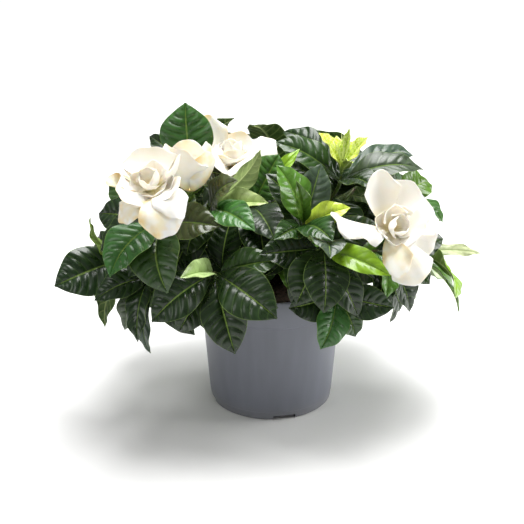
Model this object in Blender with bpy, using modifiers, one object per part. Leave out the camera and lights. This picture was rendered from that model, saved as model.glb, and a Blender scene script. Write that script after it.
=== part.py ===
"""A gardenia in a plastic nursery pot, in metres, +Z up.

The origin is the middle of the pot's flat underside. The plant faces -Y. Each leafy shoot, each whorl of
petals, each calyx with its stalk, each woody stem, the potting mix and the pot is one solid.
"""

import math
from collections import namedtuple

import bmesh
import bpy
from mathutils import Matrix, Vector
from mathutils.bvhtree import BVHTree

# The pot: 130 mm across its rim, with a rim band and four drain slots at its foot.
POT_HEIGHT = 0.117
POT_RIM_RADIUS = 0.065
POT_FOOT_RADIUS = 0.054
POT_WALL = 0.0018
POT_FLOOR = 0.0022
POT_STEPS = 48
FOOT_CHAMFER = 0.0018
BAND_HEIGHT = 0.024
BAND_STEP = 0.0012
SLOT_COUNT = 4
SLOT_SIZE = (0.020, 0.013, 0.0042)
SLOT_TURN = math.radians(12.8)

# The potting mix fills the pot to 4 mm under its rim.
GAP = 0.0004
MIX_BELOW_RIM = 0.004
MIX_STEPS = 32

# Stems and leaves
TRUNK_RADII = (0.0046, 0.0034)
SHOOT_RADII = (0.0019, 0.0013)
STALK_RADII = (0.0018, 0.0017)
LEAF_THICKNESS = 0.0008
LEAF_CELLS = (4, 2)
PETAL_THICKNESS = 0.0008
PETAL_CELLS = (3, 2)
BUD_LENGTH = 0.006
STEM_BEVEL = 1
CLEARANCE = 0.0012
NODE_SPACING = 0.0035
GOLDEN_ANGLE = math.radians(137.5)

GREEN, YOUNG, WOOD = "leaf_green", "leaf_young", "bark"
PETAL_WHITE, CALYX_GREEN = "petal_cream", "calyx_green"

# A leaf or petal: a curved sheet from its base to its tip, whose upper side looks along face.
Blade = namedtuple("Blade", "base tip face width arch fold cup curl outline")
Leaf = namedtuple("Leaf", "tip width arch fold roll", defaults=(0.13, 0.28, 0))
Shoot = namedtuple("Shoot", "name trunk rise hub axis leaves more", defaults=(0,))
Flower = namedtuple("Flower", "name trunk rise centre axis outer inner heart")


def leaf_outline(t):
    """Half-width along a leaf as a share of its greatest: a short stalk, a broad middle, a point."""
    blade = max(t - 0.08, 0.0) / 0.92
    return max(0.05, 3.3 * blade**1.0 * (1.0 - blade) ** 0.75)


def petal_outline(t):
    """Half-width along a petal: a narrow claw that widens to a broad round end."""
    return 0.14 + 1.35 * t**0.9 - 1.05 * t**4


def blade_point(blade, s, t):
    """The point of a blade at s, from -1 to 1 across it, and t, from 0 at its base to 1 at its tip."""
    along = blade.tip - blade.base
    length = along.length
    forward = along / length
    face = (blade.face - blade.face.dot(forward) * forward).normalized()
    side = forward.cross(face)
    middle = (blade.base + blade.tip) / 2 + face * blade.arch * length * 2
    centre = (1 - t) ** 2 * blade.base + 2 * t * (1 - t) * middle + t * t * blade.tip
    tangent = ((1 - t) * (middle - blade.base) + t * (blade.tip - middle)).normalized()
    normal = side.cross(tangent)
    half = blade.width / 2 * blade.outline(t)
    lift = half * (blade.fold * abs(s) + blade.cup * s * s) - blade.curl * length * t**4
    return centre + side * half * s + normal * lift


def leaf_blade(base, axis, leaf):
    """The blade of a leaf whose upper side looks along its shoot's axis, rolled about its own length."""
    tip = Vector(leaf.tip)
    face = Matrix.Rotation(math.radians(leaf.roll), 3, (tip - base).normalized()) @ axis
    return Blade(base, tip, face, leaf.width, leaf.arch, leaf.fold, -0.12, 0.0, leaf_outline)


# ---- Where things are -------------------------------------------------------------------------------------

# Woody stems, from the potting mix to where they end among the shoots.
TRUNKS = {
    "front_left": ((-0.020, -0.016, 0.0), (-0.036, -0.030, 0.158)),
    "front_right": ((0.020, -0.016, 0.0), (0.036, -0.028, 0.156)),
    "back_left": ((-0.018, 0.018, 0.0), (-0.040, 0.032, 0.160)),
    "back_right": ((0.020, 0.018, 0.0), (0.040, 0.034, 0.160)),
}

SHOOTS = [
    Shoot("front_left_low", "front_left", 0.3, (-0.047, -0.078, 0.151), (-0.15, -0.80, 0.55), [
        Leaf((-0.099, -0.100, 0.117), 0.038),
        Leaf((-0.030, -0.112, 0.093), 0.038),
        Leaf((0.008, -0.108, 0.120), 0.042),
        Leaf((-0.070, -0.122, 0.168), 0.018, 0.05, 0.9),
        Leaf((0.006, -0.084, 0.165), 0.028),
        Leaf((-0.078, -0.086, 0.100), 0.032),
    ]),
    Shoot("left_middle", "front_left", 0.55, (-0.092, -0.052, 0.186), (-0.40, -0.62, 0.66), [
        Leaf((-0.132, -0.098, 0.157), 0.042),
        Leaf((-0.142, -0.062, 0.164), 0.034),
        Leaf((-0.149, -0.030, 0.188), 0.034),
        Leaf((-0.111, -0.104, 0.152), 0.046, 0.20),
        Leaf((-0.051, -0.080, 0.214), 0.034),
        Leaf((-0.138, 0.004, 0.214), 0.030),
    ]),
    Shoot("far_left", "back_left", 0.35, (-0.128, -0.012, 0.136), (-0.85, -0.30, 0.42), [
        Leaf((-0.185, -0.044, 0.125), 0.046, 0.10, 0.2, -60),
        Leaf((-0.153, -0.040, 0.186), 0.017),
        Leaf((-0.144, -0.046, 0.086), 0.030, 0.13, 0.28, 60),
        Leaf((-0.159, 0.030, 0.135), 0.032),
        Leaf((-0.168, 0.030, 0.112), 0.036),
    ]),
    Shoot("left_low", "front_left", 0.1, (-0.102, -0.050, 0.136), (-0.60, -0.70, 0.30), [
        Leaf((-0.126, -0.062, 0.091), 0.026),
        Leaf((-0.112, -0.090, 0.094), 0.026),
        Leaf((-0.104, -0.074, 0.074), 0.018),
        Leaf((-0.150, -0.066, 0.122), 0.026),
    ]),
    Shoot("top_left", "back_left", 0.85, (-0.068, 0.004, 0.212), (-0.20, -0.72, 0.62), [
        Leaf((-0.074, 0.010, 0.270), 0.048, 0.06, 0.20),
        Leaf((-0.108, 0.035, 0.234), 0.018),
        Leaf((-0.120, -0.012, 0.206), 0.032),
        Leaf((-0.042, 0.010, 0.202), 0.028),
    ]),
    Shoot("middle_left", "front_left", 0.9, (-0.053, -0.040, 0.194), (-0.10, -0.60, 0.76), [
        Leaf((-0.006, -0.030, 0.240), 0.020, 0.06, 0.4, 180),
        Leaf((-0.086, -0.074, 0.186), 0.034),
        Leaf((-0.004, -0.062, 0.208), 0.020, 0.05, 0.7),
        Leaf((-0.016, -0.092, 0.186), 0.030),
        Leaf((-0.060, -0.096, 0.166), 0.034),
        Leaf((-0.029, -0.060, 0.219), 0.032),
    ]),
    Shoot("middle", "front_left", 0.75, (-0.016, -0.022, 0.190), (0.05, -0.66, 0.74), [
        Leaf((0.006, -0.014, 0.232), 0.040, 0.06, 0.2, 0),
        Leaf((-0.011, 0.010, 0.232), 0.024),
        Leaf((0.027, -0.004, 0.233), 0.014, 0.10),
        Leaf((0.003, -0.074, 0.178), 0.034),
        Leaf((-0.005, -0.080, 0.156), 0.036),
    ]),
    Shoot("middle_right", "front_right", 0.92, (0.026, -0.056, 0.184), (0.10, -0.66, 0.74), [
        Leaf((0.005, -0.050, 0.236), 0.032, 0.10, 0.3, 15),
        Leaf((0.020, -0.074, 0.229), 0.014, 0.05, 0.7),
        Leaf((0.043, -0.040, 0.232), 0.030, 0.06),
        Leaf((0.048, -0.100, 0.190), 0.030),
        Leaf((0.012, -0.090, 0.199), 0.022),
        Leaf((0.060, -0.056, 0.210), 0.022),
    ]),
    Shoot("top_right", "back_right", 0.95, (0.060, 0.012, 0.200), (0.05, -0.40, 0.90), [
        Leaf((0.134, 0.022, 0.210), 0.032, 0.12),
        Leaf((0.004, 0.016, 0.234), 0.034, 0.10),
        Leaf((0.010, 0.050, 0.236), 0.032),
        Leaf((0.088, -0.026, 0.206), 0.030),
        Leaf((0.076, 0.072, 0.212), 0.034),
        Leaf((0.131, 0.060, 0.211), 0.026),
    ]),
    Shoot("right_back", "back_right", 0.7, (0.112, 0.028, 0.178), (0.62, -0.12, 0.76), [
        Leaf((0.104, 0.012, 0.218), 0.034),
        Leaf((0.142, 0.050, 0.186), 0.030),
        Leaf((0.150, 0.000, 0.170), 0.030),
        Leaf((0.158, 0.030, 0.171), 0.018),
        Leaf((0.120, 0.086, 0.176), 0.036),
    ]),
    Shoot("right_low", "front_right", 0.5, (0.086, -0.044, 0.156), (0.60, -0.62, 0.48), [
        Leaf((0.108, -0.084, 0.150), 0.026, 0.16, 0.4),
        Leaf((0.120, -0.060, 0.107), 0.030),
        Leaf((0.142, -0.020, 0.118), 0.030),
        Leaf((0.092, -0.078, 0.112), 0.026),
        Leaf((0.112, -0.036, 0.096), 0.030),
        Leaf((0.146, -0.008, 0.152), 0.032),
    ]),
    Shoot("front_right", "front_right", 0.75, (0.042, -0.072, 0.172), (0.15, -0.78, 0.60), [
        Leaf((0.020, -0.098, 0.132), 0.036),
        Leaf((0.042, -0.110, 0.128), 0.038),
        Leaf((0.070, -0.096, 0.118), 0.028),
        Leaf((-0.006, -0.106, 0.187), 0.032, -0.06),
        Leaf((0.047, -0.114, 0.182), 0.032, 0.16),
        Leaf((0.096, -0.104, 0.158), 0.022, 0.12, 0.4),
    ]),
    Shoot("front_right_low", "front_right", 0.2, (0.054, -0.072, 0.128), (0.35, -0.86, 0.36), [
        Leaf((0.041, -0.100, 0.091), 0.030),
        Leaf((0.070, -0.080, 0.092), 0.024),
        Leaf((0.014, -0.090, 0.124), 0.032),
        Leaf((0.102, -0.080, 0.132), 0.030),
    ]),
    Shoot("right_side", "back_right", 0.35, (0.124, 0.000, 0.138), (0.88, -0.10, 0.46), [
        Leaf((0.187, 0.014, 0.132), 0.014, 0.03),
    ], 5),
    Shoot("back_left_low", "back_left", 0.15, (-0.098, 0.074, 0.136), (-0.66, 0.66, 0.36), [], 6),
    Shoot("back_left", "back_left", 0.70, (-0.070, 0.090, 0.170), (-0.46, 0.76, 0.44), [], 6),
    Shoot("back_middle_low", "back_left", 0.50, (-0.014, 0.104, 0.138), (-0.10, 0.90, 0.42), [], 6),
    Shoot("back_middle", "back_right", 0.55, (0.008, 0.096, 0.186), (0.05, 0.62, 0.78), [], 6),
    Shoot("back_right_low", "back_right", 0.15, (0.080, 0.092, 0.136), (0.55, 0.74, 0.38), [], 6),
    Shoot("back_right", "back_right", 0.85, (0.080, 0.080, 0.172), (0.48, 0.74, 0.46), [], 6),
    Shoot("back_top", "back_left", 0.99, (-0.020, 0.056, 0.188), (-0.14, 0.76, 0.62), [], 5),
]

# The pale new leaves that stand up above the shoot named top_right.
YOUNG_TIP_LEAVES = [
    Leaf((0.041, 0.012, 0.243), 0.021, 0.06, 0.5),
    Leaf((0.082, 0.010, 0.239), 0.021, 0.06, 0.5),
    Leaf((0.058, 0.030, 0.238), 0.012, 0.04, 0.5),
    Leaf((0.072, 0.020, 0.244), 0.009, 0.02, 0.6),
    Leaf((0.060, -0.004, 0.232), 0.009, 0.02, 0.6),
]


def petal(tip, width, arch=0.16, cup=0.25, curl=0.0):
    return (tip, width, arch, cup, curl)


FLOWERS = [
    Flower("left", "front_left", 0.99, (-0.096, -0.076, 0.226), (-0.25, -0.62, 0.74), [
        petal((-0.122, -0.094, 0.197), 0.026, 0.12, -0.2),
        petal((-0.080, -0.112, 0.186), 0.040, 0.16, -0.2),
        petal((-0.134, -0.070, 0.226), 0.024),
        petal((-0.124, -0.050, 0.250), 0.034),
        petal((-0.084, -0.042, 0.256), 0.038),
        petal((-0.062, -0.072, 0.228), 0.034),
    ], 5, 3),
    Flower("half_open", "back_left", 0.6, (-0.067, -0.040, 0.218), (0.10, -0.22, 0.97), [
        petal((-0.084, -0.058, 0.246), 0.034, 0.24, 0.9),
        petal((-0.050, -0.060, 0.240), 0.036, 0.24, 0.9),
        petal((-0.044, -0.034, 0.246), 0.032, 0.24, 0.9),
        petal((-0.064, -0.018, 0.248), 0.032, 0.24, 0.9),
        petal((-0.088, -0.030, 0.250), 0.030, 0.24, 0.9),
    ], 0, 0),
    Flower("back", "back_left", 0.92, (-0.034, 0.024, 0.214), (-0.05, 0.10, 0.99), [
        petal((-0.058, 0.006, 0.206), 0.026, 0.24, -0.3),
        petal((-0.064, 0.040, 0.246), 0.030),
        petal((-0.004, 0.022, 0.226), 0.032, 0.22),
        petal((-0.030, 0.068, 0.224), 0.034, 0.20),
        petal((0.002, 0.050, 0.224), 0.030, 0.20),
        petal((-0.024, -0.010, 0.220), 0.030, 0.22),
    ], 5, 3),
    Flower("right", "front_right", 0.99, (0.100, -0.060, 0.184), (0.42, -0.74, 0.52), [
        petal((0.086, -0.062, 0.229), 0.036, 0.14),
        petal((0.051, -0.096, 0.206), 0.024, 0.10),
        petal((0.094, -0.094, 0.150), 0.032, 0.16, -0.2),
        petal((0.122, -0.080, 0.144), 0.034, 0.16, -0.2),
        petal((0.144, -0.050, 0.172), 0.034),
        petal((0.128, -0.036, 0.214), 0.036),
    ], 5, 3),
]

# Each whorl of petals grows from a short round seat, that far down the flower's axis from its centre. The
# petals of the inner whorls are worked out by rule, from (length, width, lean from the axis).
SEAT_HEIGHT = 0.0026
SEAT_RADII = {"outer": 0.0050, "inner": 0.0030, "heart": 0.0022}
SEAT_DROP = {"outer": 0.0084, "inner": 0.0044, "heart": 0.0004}
INNER_PETAL = (0.030, 0.026, math.radians(48))
HEART_PETAL = (0.022, 0.018, math.radians(20))


# ---- Keeping things clear of each other -------------------------------------------------------------------

placed = []


def slab_trees(blade):
    """A slab round the blade, with CLEARANCE to each side, as a BVH tree; a second tree of all but the slab's
    first quarter; and the slab's points."""
    rows, columns = LEAF_CELLS[0] + 1, LEAF_CELLS[1] + 1
    count = rows * columns
    up = blade.face.normalized() * CLEARANCE
    middle = [
        blade_point(blade, 2 * j / (columns - 1) - 1, i / (rows - 1))
        for i in range(rows)
        for j in range(columns)
    ]
    points = [p + up for p in middle] + [p - up for p in middle]
    near, far = [], []
    for i in range(rows - 1):
        row = [i * columns + j for j in range(columns)]
        ahead = [k + columns for k in row]
        faces = [(row[j], row[j + 1], ahead[j + 1], ahead[j]) for j in range(columns - 1)]
        faces += [tuple(k + count for k in face) for face in faces]
        for edge in (0, columns - 1):
            faces.append((row[edge], ahead[edge], ahead[edge] + count, row[edge] + count))
        (far if i else near).extend(faces)
    for end, faces in ((0, near), (count - columns, far)):
        faces += [(end + j, end + j + 1, end + j + 1 + count, end + j + count) for j in range(columns - 1)]
    return BVHTree.FromPolygons(points, near + far), BVHTree.FromPolygons(points, far), points


def hits(trees, owner, corners):
    """Whether a new thing, (whole tree, outer tree), meets anything placed. In its own plant part only the
    outer trees count, because leaves of one shoot meet at its stem."""
    low, high = corners
    for other_owner, other_trees, (other_low, other_high) in placed:
        if any(low[k] > other_high[k] or high[k] < other_low[k] for k in range(3)):
            continue
        which = 1 if other_owner == owner else 0
        if other_trees[which] is None or trees[which] is None:
            continue
        if trees[which].overlap(other_trees[which]):
            return True
    return False


def corners_of(points):
    low = [min(p[k] for p in points) for k in range(3)]
    high = [max(p[k] for p in points) for k in range(3)]
    return low, high


def nudges():
    """Small turns of a blade about its base, in degrees of lift and swing, and how much shorter it gets."""
    yield 0, 0, 1.0
    for shorter in (1.0, 0.92, 0.84):
        for reach in range(4, 37, 4):
            for turn in range(8):
                angle = turn * math.pi / 4
                yield reach * math.cos(angle), reach * math.sin(angle), shorter


def place(blade, owner):
    """The blade turned as little as it takes to be clear of everything placed so far, or None."""
    along = blade.tip - blade.base
    face = (blade.face - blade.face.project(along)).normalized()
    side = along.cross(face).normalized()
    for lift, swing, shorter in nudges():
        turn = Matrix.Rotation(math.radians(lift), 3, side) @ Matrix.Rotation(math.radians(swing), 3, face)
        trial = blade._replace(tip=blade.base + turn @ along * shorter, face=turn @ face)
        whole, outer, points = slab_trees(trial)
        box = corners_of(points)
        if not hits((whole, outer), owner, box) and clear_of_pot(points):
            placed.append((owner, (whole, outer), box))
            return trial
    return None


def clear_of_pot(points):
    """Whether no point is in the pot's wall or in the potting mix."""
    margin = 0.003
    for p in points:
        if p.z < POT_HEIGHT + margin and math.hypot(p.x, p.y) < POT_RIM_RADIUS + margin:
            return False
    return True


def bezier(start, bend, end, t):
    return (1 - t) ** 2 * start + 2 * t * (1 - t) * bend + t * t * end


def tube_tree(path, radius):
    """A square tube round a path, as a BVH tree with its points."""
    points, faces = [], []
    for i, p in enumerate(path):
        ahead = path[min(i + 1, len(path) - 1)] - path[max(i - 1, 0)]
        across = ahead.cross(Vector((0.3, 0.2, 0.9))).normalized()
        up = ahead.cross(across).normalized()
        points += [p + across * radius, p + up * radius, p - across * radius, p - up * radius]
    for i in range(len(path) - 1):
        for k in range(4):
            a, b = 4 * i + k, 4 * i + (k + 1) % 4
            faces.append((a, b, b + 4, a + 4))
    return BVHTree.FromPolygons(points, faces), points


def stem_path(owner, part, end, axis, steps=4):
    """A stem to end, which it reaches along axis, started and bowed so that it's clear of what is placed."""
    shifts = (0.0, -0.07, 0.07, -0.14, 0.14, -0.21, 0.21)
    starts = [(turn, shift) for turn in (0, 40, -40, 80, -80) for shift in shifts]
    for turn, rise_change in starts:
        start = branch_start(part.trunk, min(max(part.rise + rise_change, 0.05), 1.0), end, turn)
        reach = (end - start).length
        for bow in range(8):
            angle = bow * GOLDEN_ANGLE
            shift = Vector((math.cos(angle), math.sin(angle), 0.2)) * 0.0015 * bow
            bend = end - axis * reach * 0.45 + shift
            path = [bezier(start, bend, end - axis * 0.004, i / steps) for i in range(steps + 1)] + [end]
            tree, points = tube_tree(path, SHOOT_RADII[0] + CLEARANCE)
            box = corners_of(points)
            if not hits((tree, None), owner, box):
                placed.append((owner, (tree, None), box))
                return path
    return path


def trunk_path(name):
    foot, top = (Vector(v) for v in TRUNKS[name])
    foot.z = POT_HEIGHT - MIX_BELOW_RIM + GAP + 0.003
    bend = Vector((foot.x, foot.y, (foot.z + top.z) / 2))
    return [foot - Vector((0.0, 0.0, 0.003))] + [bezier(foot, bend, top, i / 4) for i in range(5)]


def branch_start(trunk, rise, towards, turn):
    """Where a branch leaves its woody stem: just outside the bark, at that share of the stem's height."""
    path = trunk_path(trunk)
    foot, top = path[1], path[-1]
    bend = Vector((foot.x, foot.y, (foot.z + top.z) / 2))
    point = bezier(foot, bend, top, rise)
    along = bezier(foot, bend, top, rise + 0.05) - bezier(foot, bend, top, rise - 0.05)
    way = Matrix.Rotation(math.radians(turn), 3, "Z") @ (towards - point)
    way -= way.project(along)
    return point + way.normalized() * (TRUNK_RADII[0] + SHOOT_RADII[0] + GAP)


# ---- Making the solids ------------------------------------------------------------------------------------

materials = {}


def material(name, colour, roughness):
    made = bpy.data.materials.new(name)
    made.use_nodes = True
    shader = made.node_tree.nodes["Principled BSDF"]
    shader.inputs["Base Color"].default_value = (*colour, 1.0)
    shader.inputs["Roughness"].default_value = roughness
    shader.inputs["Metallic"].default_value = 0.0
    materials[name] = made


def link(name, mesh, collection, material_name=None):
    made = bpy.data.objects.new(name, mesh)
    collection.objects.link(made)
    if material_name:
        mesh.materials.clear()
        mesh.materials.append(materials[material_name])
    return made


def sheet_object(name, blade, cells, thickness):
    """A blade as a helper solid: a grid shaped to it, with its thickness from Solidify."""
    mesh = bpy.data.meshes.new(name)
    shape = bmesh.new()
    bmesh.ops.create_grid(shape, x_segments=cells[0], y_segments=cells[1], size=0.5)
    for vertex in shape.verts:
        vertex.co = blade_point(blade, vertex.co.y * 2, vertex.co.x + 0.5)
    shape.to_mesh(mesh)
    shape.free()
    made = link(name, mesh, helpers)
    made.hide_render = True
    made.display_type = "WIRE"
    solid = made.modifiers.new("thickness", "SOLIDIFY")
    solid.thickness = thickness
    solid.offset = 0.0
    return made


def tube(name, path, radii, collection, material_name):
    """A tapering round stem along a path, as a closed mesh."""
    curve = bpy.data.curves.new(name, "CURVE")
    curve.dimensions = "3D"
    curve.bevel_depth = 1.0
    curve.bevel_resolution = STEM_BEVEL
    curve.use_fill_caps = True
    spline = curve.splines.new("POLY")
    spline.points.add(len(path) - 1)
    for i, point in enumerate(path):
        share = i / (len(path) - 1)
        spline.points[i].co = (*point, 1.0)
        spline.points[i].radius = radii[0] + (radii[1] - radii[0]) * share
    guide = bpy.data.objects.new(name + "_line", curve)
    collection.objects.link(guide)
    bpy.context.view_layer.update()
    graph = bpy.context.evaluated_depsgraph_get()
    mesh = bpy.data.meshes.new_from_object(guide.evaluated_get(graph))
    bpy.data.objects.remove(guide)
    shape = bmesh.new()
    shape.from_mesh(mesh)
    bmesh.ops.remove_doubles(shape, verts=shape.verts, dist=0.00001)
    bmesh.ops.recalc_face_normals(shape, faces=shape.faces)
    shape.to_mesh(mesh)
    shape.free()
    mesh.shade_smooth()
    mesh.set_sharp_from_angle(angle=math.radians(50))
    return link(name, mesh, collection, material_name)


def union(body, parts):
    """Joins helper solids to a body with one Boolean."""
    if not parts:
        return
    group = bpy.data.collections.new(body.name + "_parts")
    helpers.children.link(group)
    for part in parts:
        helpers.objects.unlink(part)
        group.objects.link(part)
    join = body.modifiers.new("join", "BOOLEAN")
    join.operation = "UNION"
    join.operand_type = "COLLECTION"
    join.collection = group
    join.solver = "EXACT"


def turned(name, profile, steps, material_name):
    """A profile of (radius, height) points turned about Z."""
    mesh = bpy.data.meshes.new(name)
    points = [(r, 0.0, z) for r, z in profile]
    mesh.from_pydata(points, [(i, i + 1) for i in range(len(points) - 1)], [])
    made = link(name, mesh, plant, material_name)
    screw = made.modifiers.new("turn", "SCREW")
    screw.axis = "Z"
    screw.angle = math.tau
    screw.steps = steps
    screw.render_steps = steps
    screw.use_merge_vertices = True
    screw.merge_threshold = 0.00002
    return made


def build_pot():
    inside_foot = POT_FOOT_RADIUS - POT_WALL
    lip = POT_RIM_RADIUS - POT_WALL - BAND_STEP
    band_low = POT_HEIGHT - BAND_HEIGHT
    taper = (POT_RIM_RADIUS - BAND_STEP - POT_FOOT_RADIUS) / POT_HEIGHT
    wall_at_band = POT_FOOT_RADIUS + taper * band_low
    pot = turned("pot", [
        (0.0, POT_FLOOR),
        (inside_foot, POT_FLOOR),
        (lip, POT_HEIGHT),
        (POT_RIM_RADIUS, POT_HEIGHT),
        (wall_at_band + BAND_STEP, band_low),
        (wall_at_band, band_low - BAND_STEP),
        (POT_FOOT_RADIUS, FOOT_CHAMFER),
        (POT_FOOT_RADIUS - FOOT_CHAMFER, 0.0),
        (0.0, 0.0),
    ], POT_STEPS, "pot_plastic")
    for index in range(SLOT_COUNT):
        angle = SLOT_TURN + index * math.tau / SLOT_COUNT
        mesh = bpy.data.meshes.new(f"drain_slot_{index + 1}")
        shape = bmesh.new()
        bmesh.ops.create_cube(shape, size=1.0)
        width, depth, height = SLOT_SIZE
        bmesh.ops.scale(shape, verts=shape.verts, vec=(width, depth, 2 * height))
        bmesh.ops.translate(shape, verts=shape.verts, vec=(0.0, -POT_FOOT_RADIUS, 0.0))
        bmesh.ops.rotate(shape, verts=shape.verts, cent=(0, 0, 0), matrix=Matrix.Rotation(angle, 3, "Z"))
        shape.to_mesh(mesh)
        shape.free()
        cutter = link(mesh.name, mesh, helpers)
        cutter.hide_render = True
        cutter.display_type = "WIRE"
        cut = pot.modifiers.new(mesh.name, "BOOLEAN")
        cut.operation = "DIFFERENCE"
        cut.object = cutter
    return pot


def build_mix():
    lip = POT_RIM_RADIUS - POT_WALL - BAND_STEP
    inside_foot = POT_FOOT_RADIUS - POT_WALL
    top = POT_HEIGHT - MIX_BELOW_RIM
    bottom = POT_FLOOR + GAP
    slope = (lip - inside_foot) / (POT_HEIGHT - POT_FLOOR)
    low_radius = inside_foot + slope * GAP - GAP
    high_radius = inside_foot + slope * (top - POT_FLOOR) - GAP
    return turned("potting_mix", [
        (0.0, top),
        (high_radius, top),
        (low_radius, bottom),
        (0.0, bottom),
    ], MIX_STEPS, "potting_mix")


def down_stem(path, distance):
    """The point on a stem at that distance from its top end."""
    for upper, lower in zip(path[::-1], path[-2::-1]):
        step = (upper - lower).length
        if distance <= step:
            return upper.lerp(lower, distance / step)
        distance -= step
    return path[0].lerp(path[1], 0.1)


def whorl_leaf(hub, axis, index, length, width):
    """One leaf of a whorl worked out by rule: round the axis, leaning out from it and drooping."""
    around = axis.orthogonal().normalized()
    turn = index * GOLDEN_ANGLE
    out = Matrix.Rotation(turn, 3, axis) @ around
    lean = math.radians(62 + 24 * (index % 3) / 2)
    way = out * math.sin(lean) + axis * math.cos(lean)
    way.z -= 0.18
    tip = hub + way.normalized() * length * (1.0 - 0.08 * (index % 4) / 3)
    return Leaf(tuple(tip), width)


def seat(name, flower_axis, centre, radius, material_name):
    """The short round base that a whorl of petals grows from."""
    mesh = bpy.data.meshes.new(name)
    shape = bmesh.new()
    bmesh.ops.create_cone(
        shape, cap_ends=True, cap_tris=False, segments=10,
        radius1=radius * 0.8, radius2=radius, depth=SEAT_HEIGHT,
    )
    turn = flower_axis.to_track_quat("Z", "Y").to_matrix()
    bmesh.ops.rotate(shape, verts=shape.verts, cent=(0, 0, 0), matrix=turn)
    bmesh.ops.translate(shape, verts=shape.verts, vec=centre)
    shape.to_mesh(mesh)
    shape.free()
    return link(name, mesh, plant, material_name)


def ring_petals(centre, axis, radius, count, size, turn):
    """Petals standing round the axis at an even spacing, cupped towards it."""
    length, width, lean = size
    around = axis.orthogonal().normalized()
    blades = []
    for index in range(count):
        out = Matrix.Rotation(turn + index * math.tau / count, 3, axis) @ around
        way = out * math.sin(lean) + axis * math.cos(lean)
        base = centre + out * radius * 0.7
        face = axis * math.sin(lean) - out * math.cos(lean)
        blades.append(Blade(base, centre + way * length, face, width, -0.16, 0.0, 0.5, 0.0, petal_outline))
    return blades


def flower_blades(flower):
    """The blades of each whorl of a flower, from its outer petals to its heart."""
    axis = Vector(flower.axis).normalized()
    centre = Vector(flower.centre)
    outer_seat = centre - axis * SEAT_DROP["outer"]
    outer = []
    for tip, width, arch, cup, curl in flower.outer:
        tip = Vector(tip)
        out = (tip - outer_seat) - (tip - outer_seat).dot(axis) * axis
        base = outer_seat + out.normalized() * SEAT_RADII["outer"] * 0.88
        outer.append(Blade(base, tip, axis, width, -arch * 0.5, 0.0, cup, curl, petal_outline))
    inner_seat = centre - axis * SEAT_DROP["inner"]
    heart_seat = centre - axis * SEAT_DROP["heart"]
    inner = ring_petals(inner_seat, axis, SEAT_RADII["inner"], flower.inner, INNER_PETAL, 0.4)
    heart = ring_petals(heart_seat, axis, SEAT_RADII["heart"], flower.heart, HEART_PETAL, 0.9)
    whorls = {"outer": outer, "inner": inner, "heart": heart}
    return {kind: blades for kind, blades in whorls.items() if blades}


def grow_stems():
    """Makes the woody stems and finds a clear path for each flower's stalk and each shoot's stem."""
    paths = {}
    for name in TRUNKS:
        path = trunk_path(name)
        tree, points = tube_tree(path, TRUNK_RADII[0] + CLEARANCE / 2)
        placed.append(("woody_stem_" + name, (tree, None), corners_of(points)))
        tube("woody_stem_" + name, path, TRUNK_RADII, plant, WOOD)
    for flower in FLOWERS:
        axis = Vector(flower.axis).normalized()
        end = Vector(flower.centre) - axis * (SEAT_DROP["outer"] + SEAT_HEIGHT / 2 + GAP)
        paths[flower.name] = stem_path(f"flower_{flower.name}_stalk", flower, end, axis, 8)
    for shoot in SHOOTS:
        axis = Vector(shoot.axis).normalized()
        end = Vector(shoot.hub) + axis * BUD_LENGTH
        paths[shoot.name] = stem_path("shoot_" + shoot.name, shoot, end, axis)
    return paths


def grow_flowers(paths):
    """Makes each flower's stalk and its whorls of petals."""
    for flower in FLOWERS:
        axis = Vector(flower.axis).normalized()
        for kind in flower_blades(flower):
            middle = Vector(flower.centre) - axis * SEAT_DROP[kind]
            ends = [middle - axis * SEAT_HEIGHT / 2, middle + axis * SEAT_HEIGHT / 2]
            tree, points = tube_tree(ends, SEAT_RADII[kind] + GAP)
            placed.append((f"flower_{flower.name}_{kind}_petals", (tree, None), corners_of(points)))
    for flower in FLOWERS:
        axis = Vector(flower.axis).normalized()
        for kind, blades in flower_blades(flower).items():
            owner = f"flower_{flower.name}_{kind}_petals"
            kept = [b for b in (place(blade, owner) for blade in blades) if b]
            centre = Vector(flower.centre) - axis * SEAT_DROP[kind]
            body = seat(owner, axis, centre, SEAT_RADII[kind], PETAL_WHITE)
            union(body, [
                sheet_object(f"{owner}_{i + 1}", blade, PETAL_CELLS, PETAL_THICKNESS)
                for i, blade in enumerate(kept)
            ])
        tube(f"flower_{flower.name}_stalk", paths[flower.name], STALK_RADII, plant, CALYX_GREEN)


def grow_young_tip(paths):
    """Makes the pale new growth that carries on the shoot named top_right."""
    axis = Vector((0.05, -0.15, 1.0)).normalized()
    foot = paths["top_right"][-1] + axis * 0.0012
    base = foot + axis * 0.0018
    kept = [b for b in (place(leaf_blade(base, axis, leaf), "young") for leaf in YOUNG_TIP_LEAVES) if b]
    body = tube("young_shoot_tip", [foot, foot + axis * 0.014], (0.0014, 0.0008), plant, YOUNG)
    union(body, [
        sheet_object(f"young_leaf_{i + 1}", blade, LEAF_CELLS, LEAF_THICKNESS)
        for i, blade in enumerate(kept)
    ])


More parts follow.
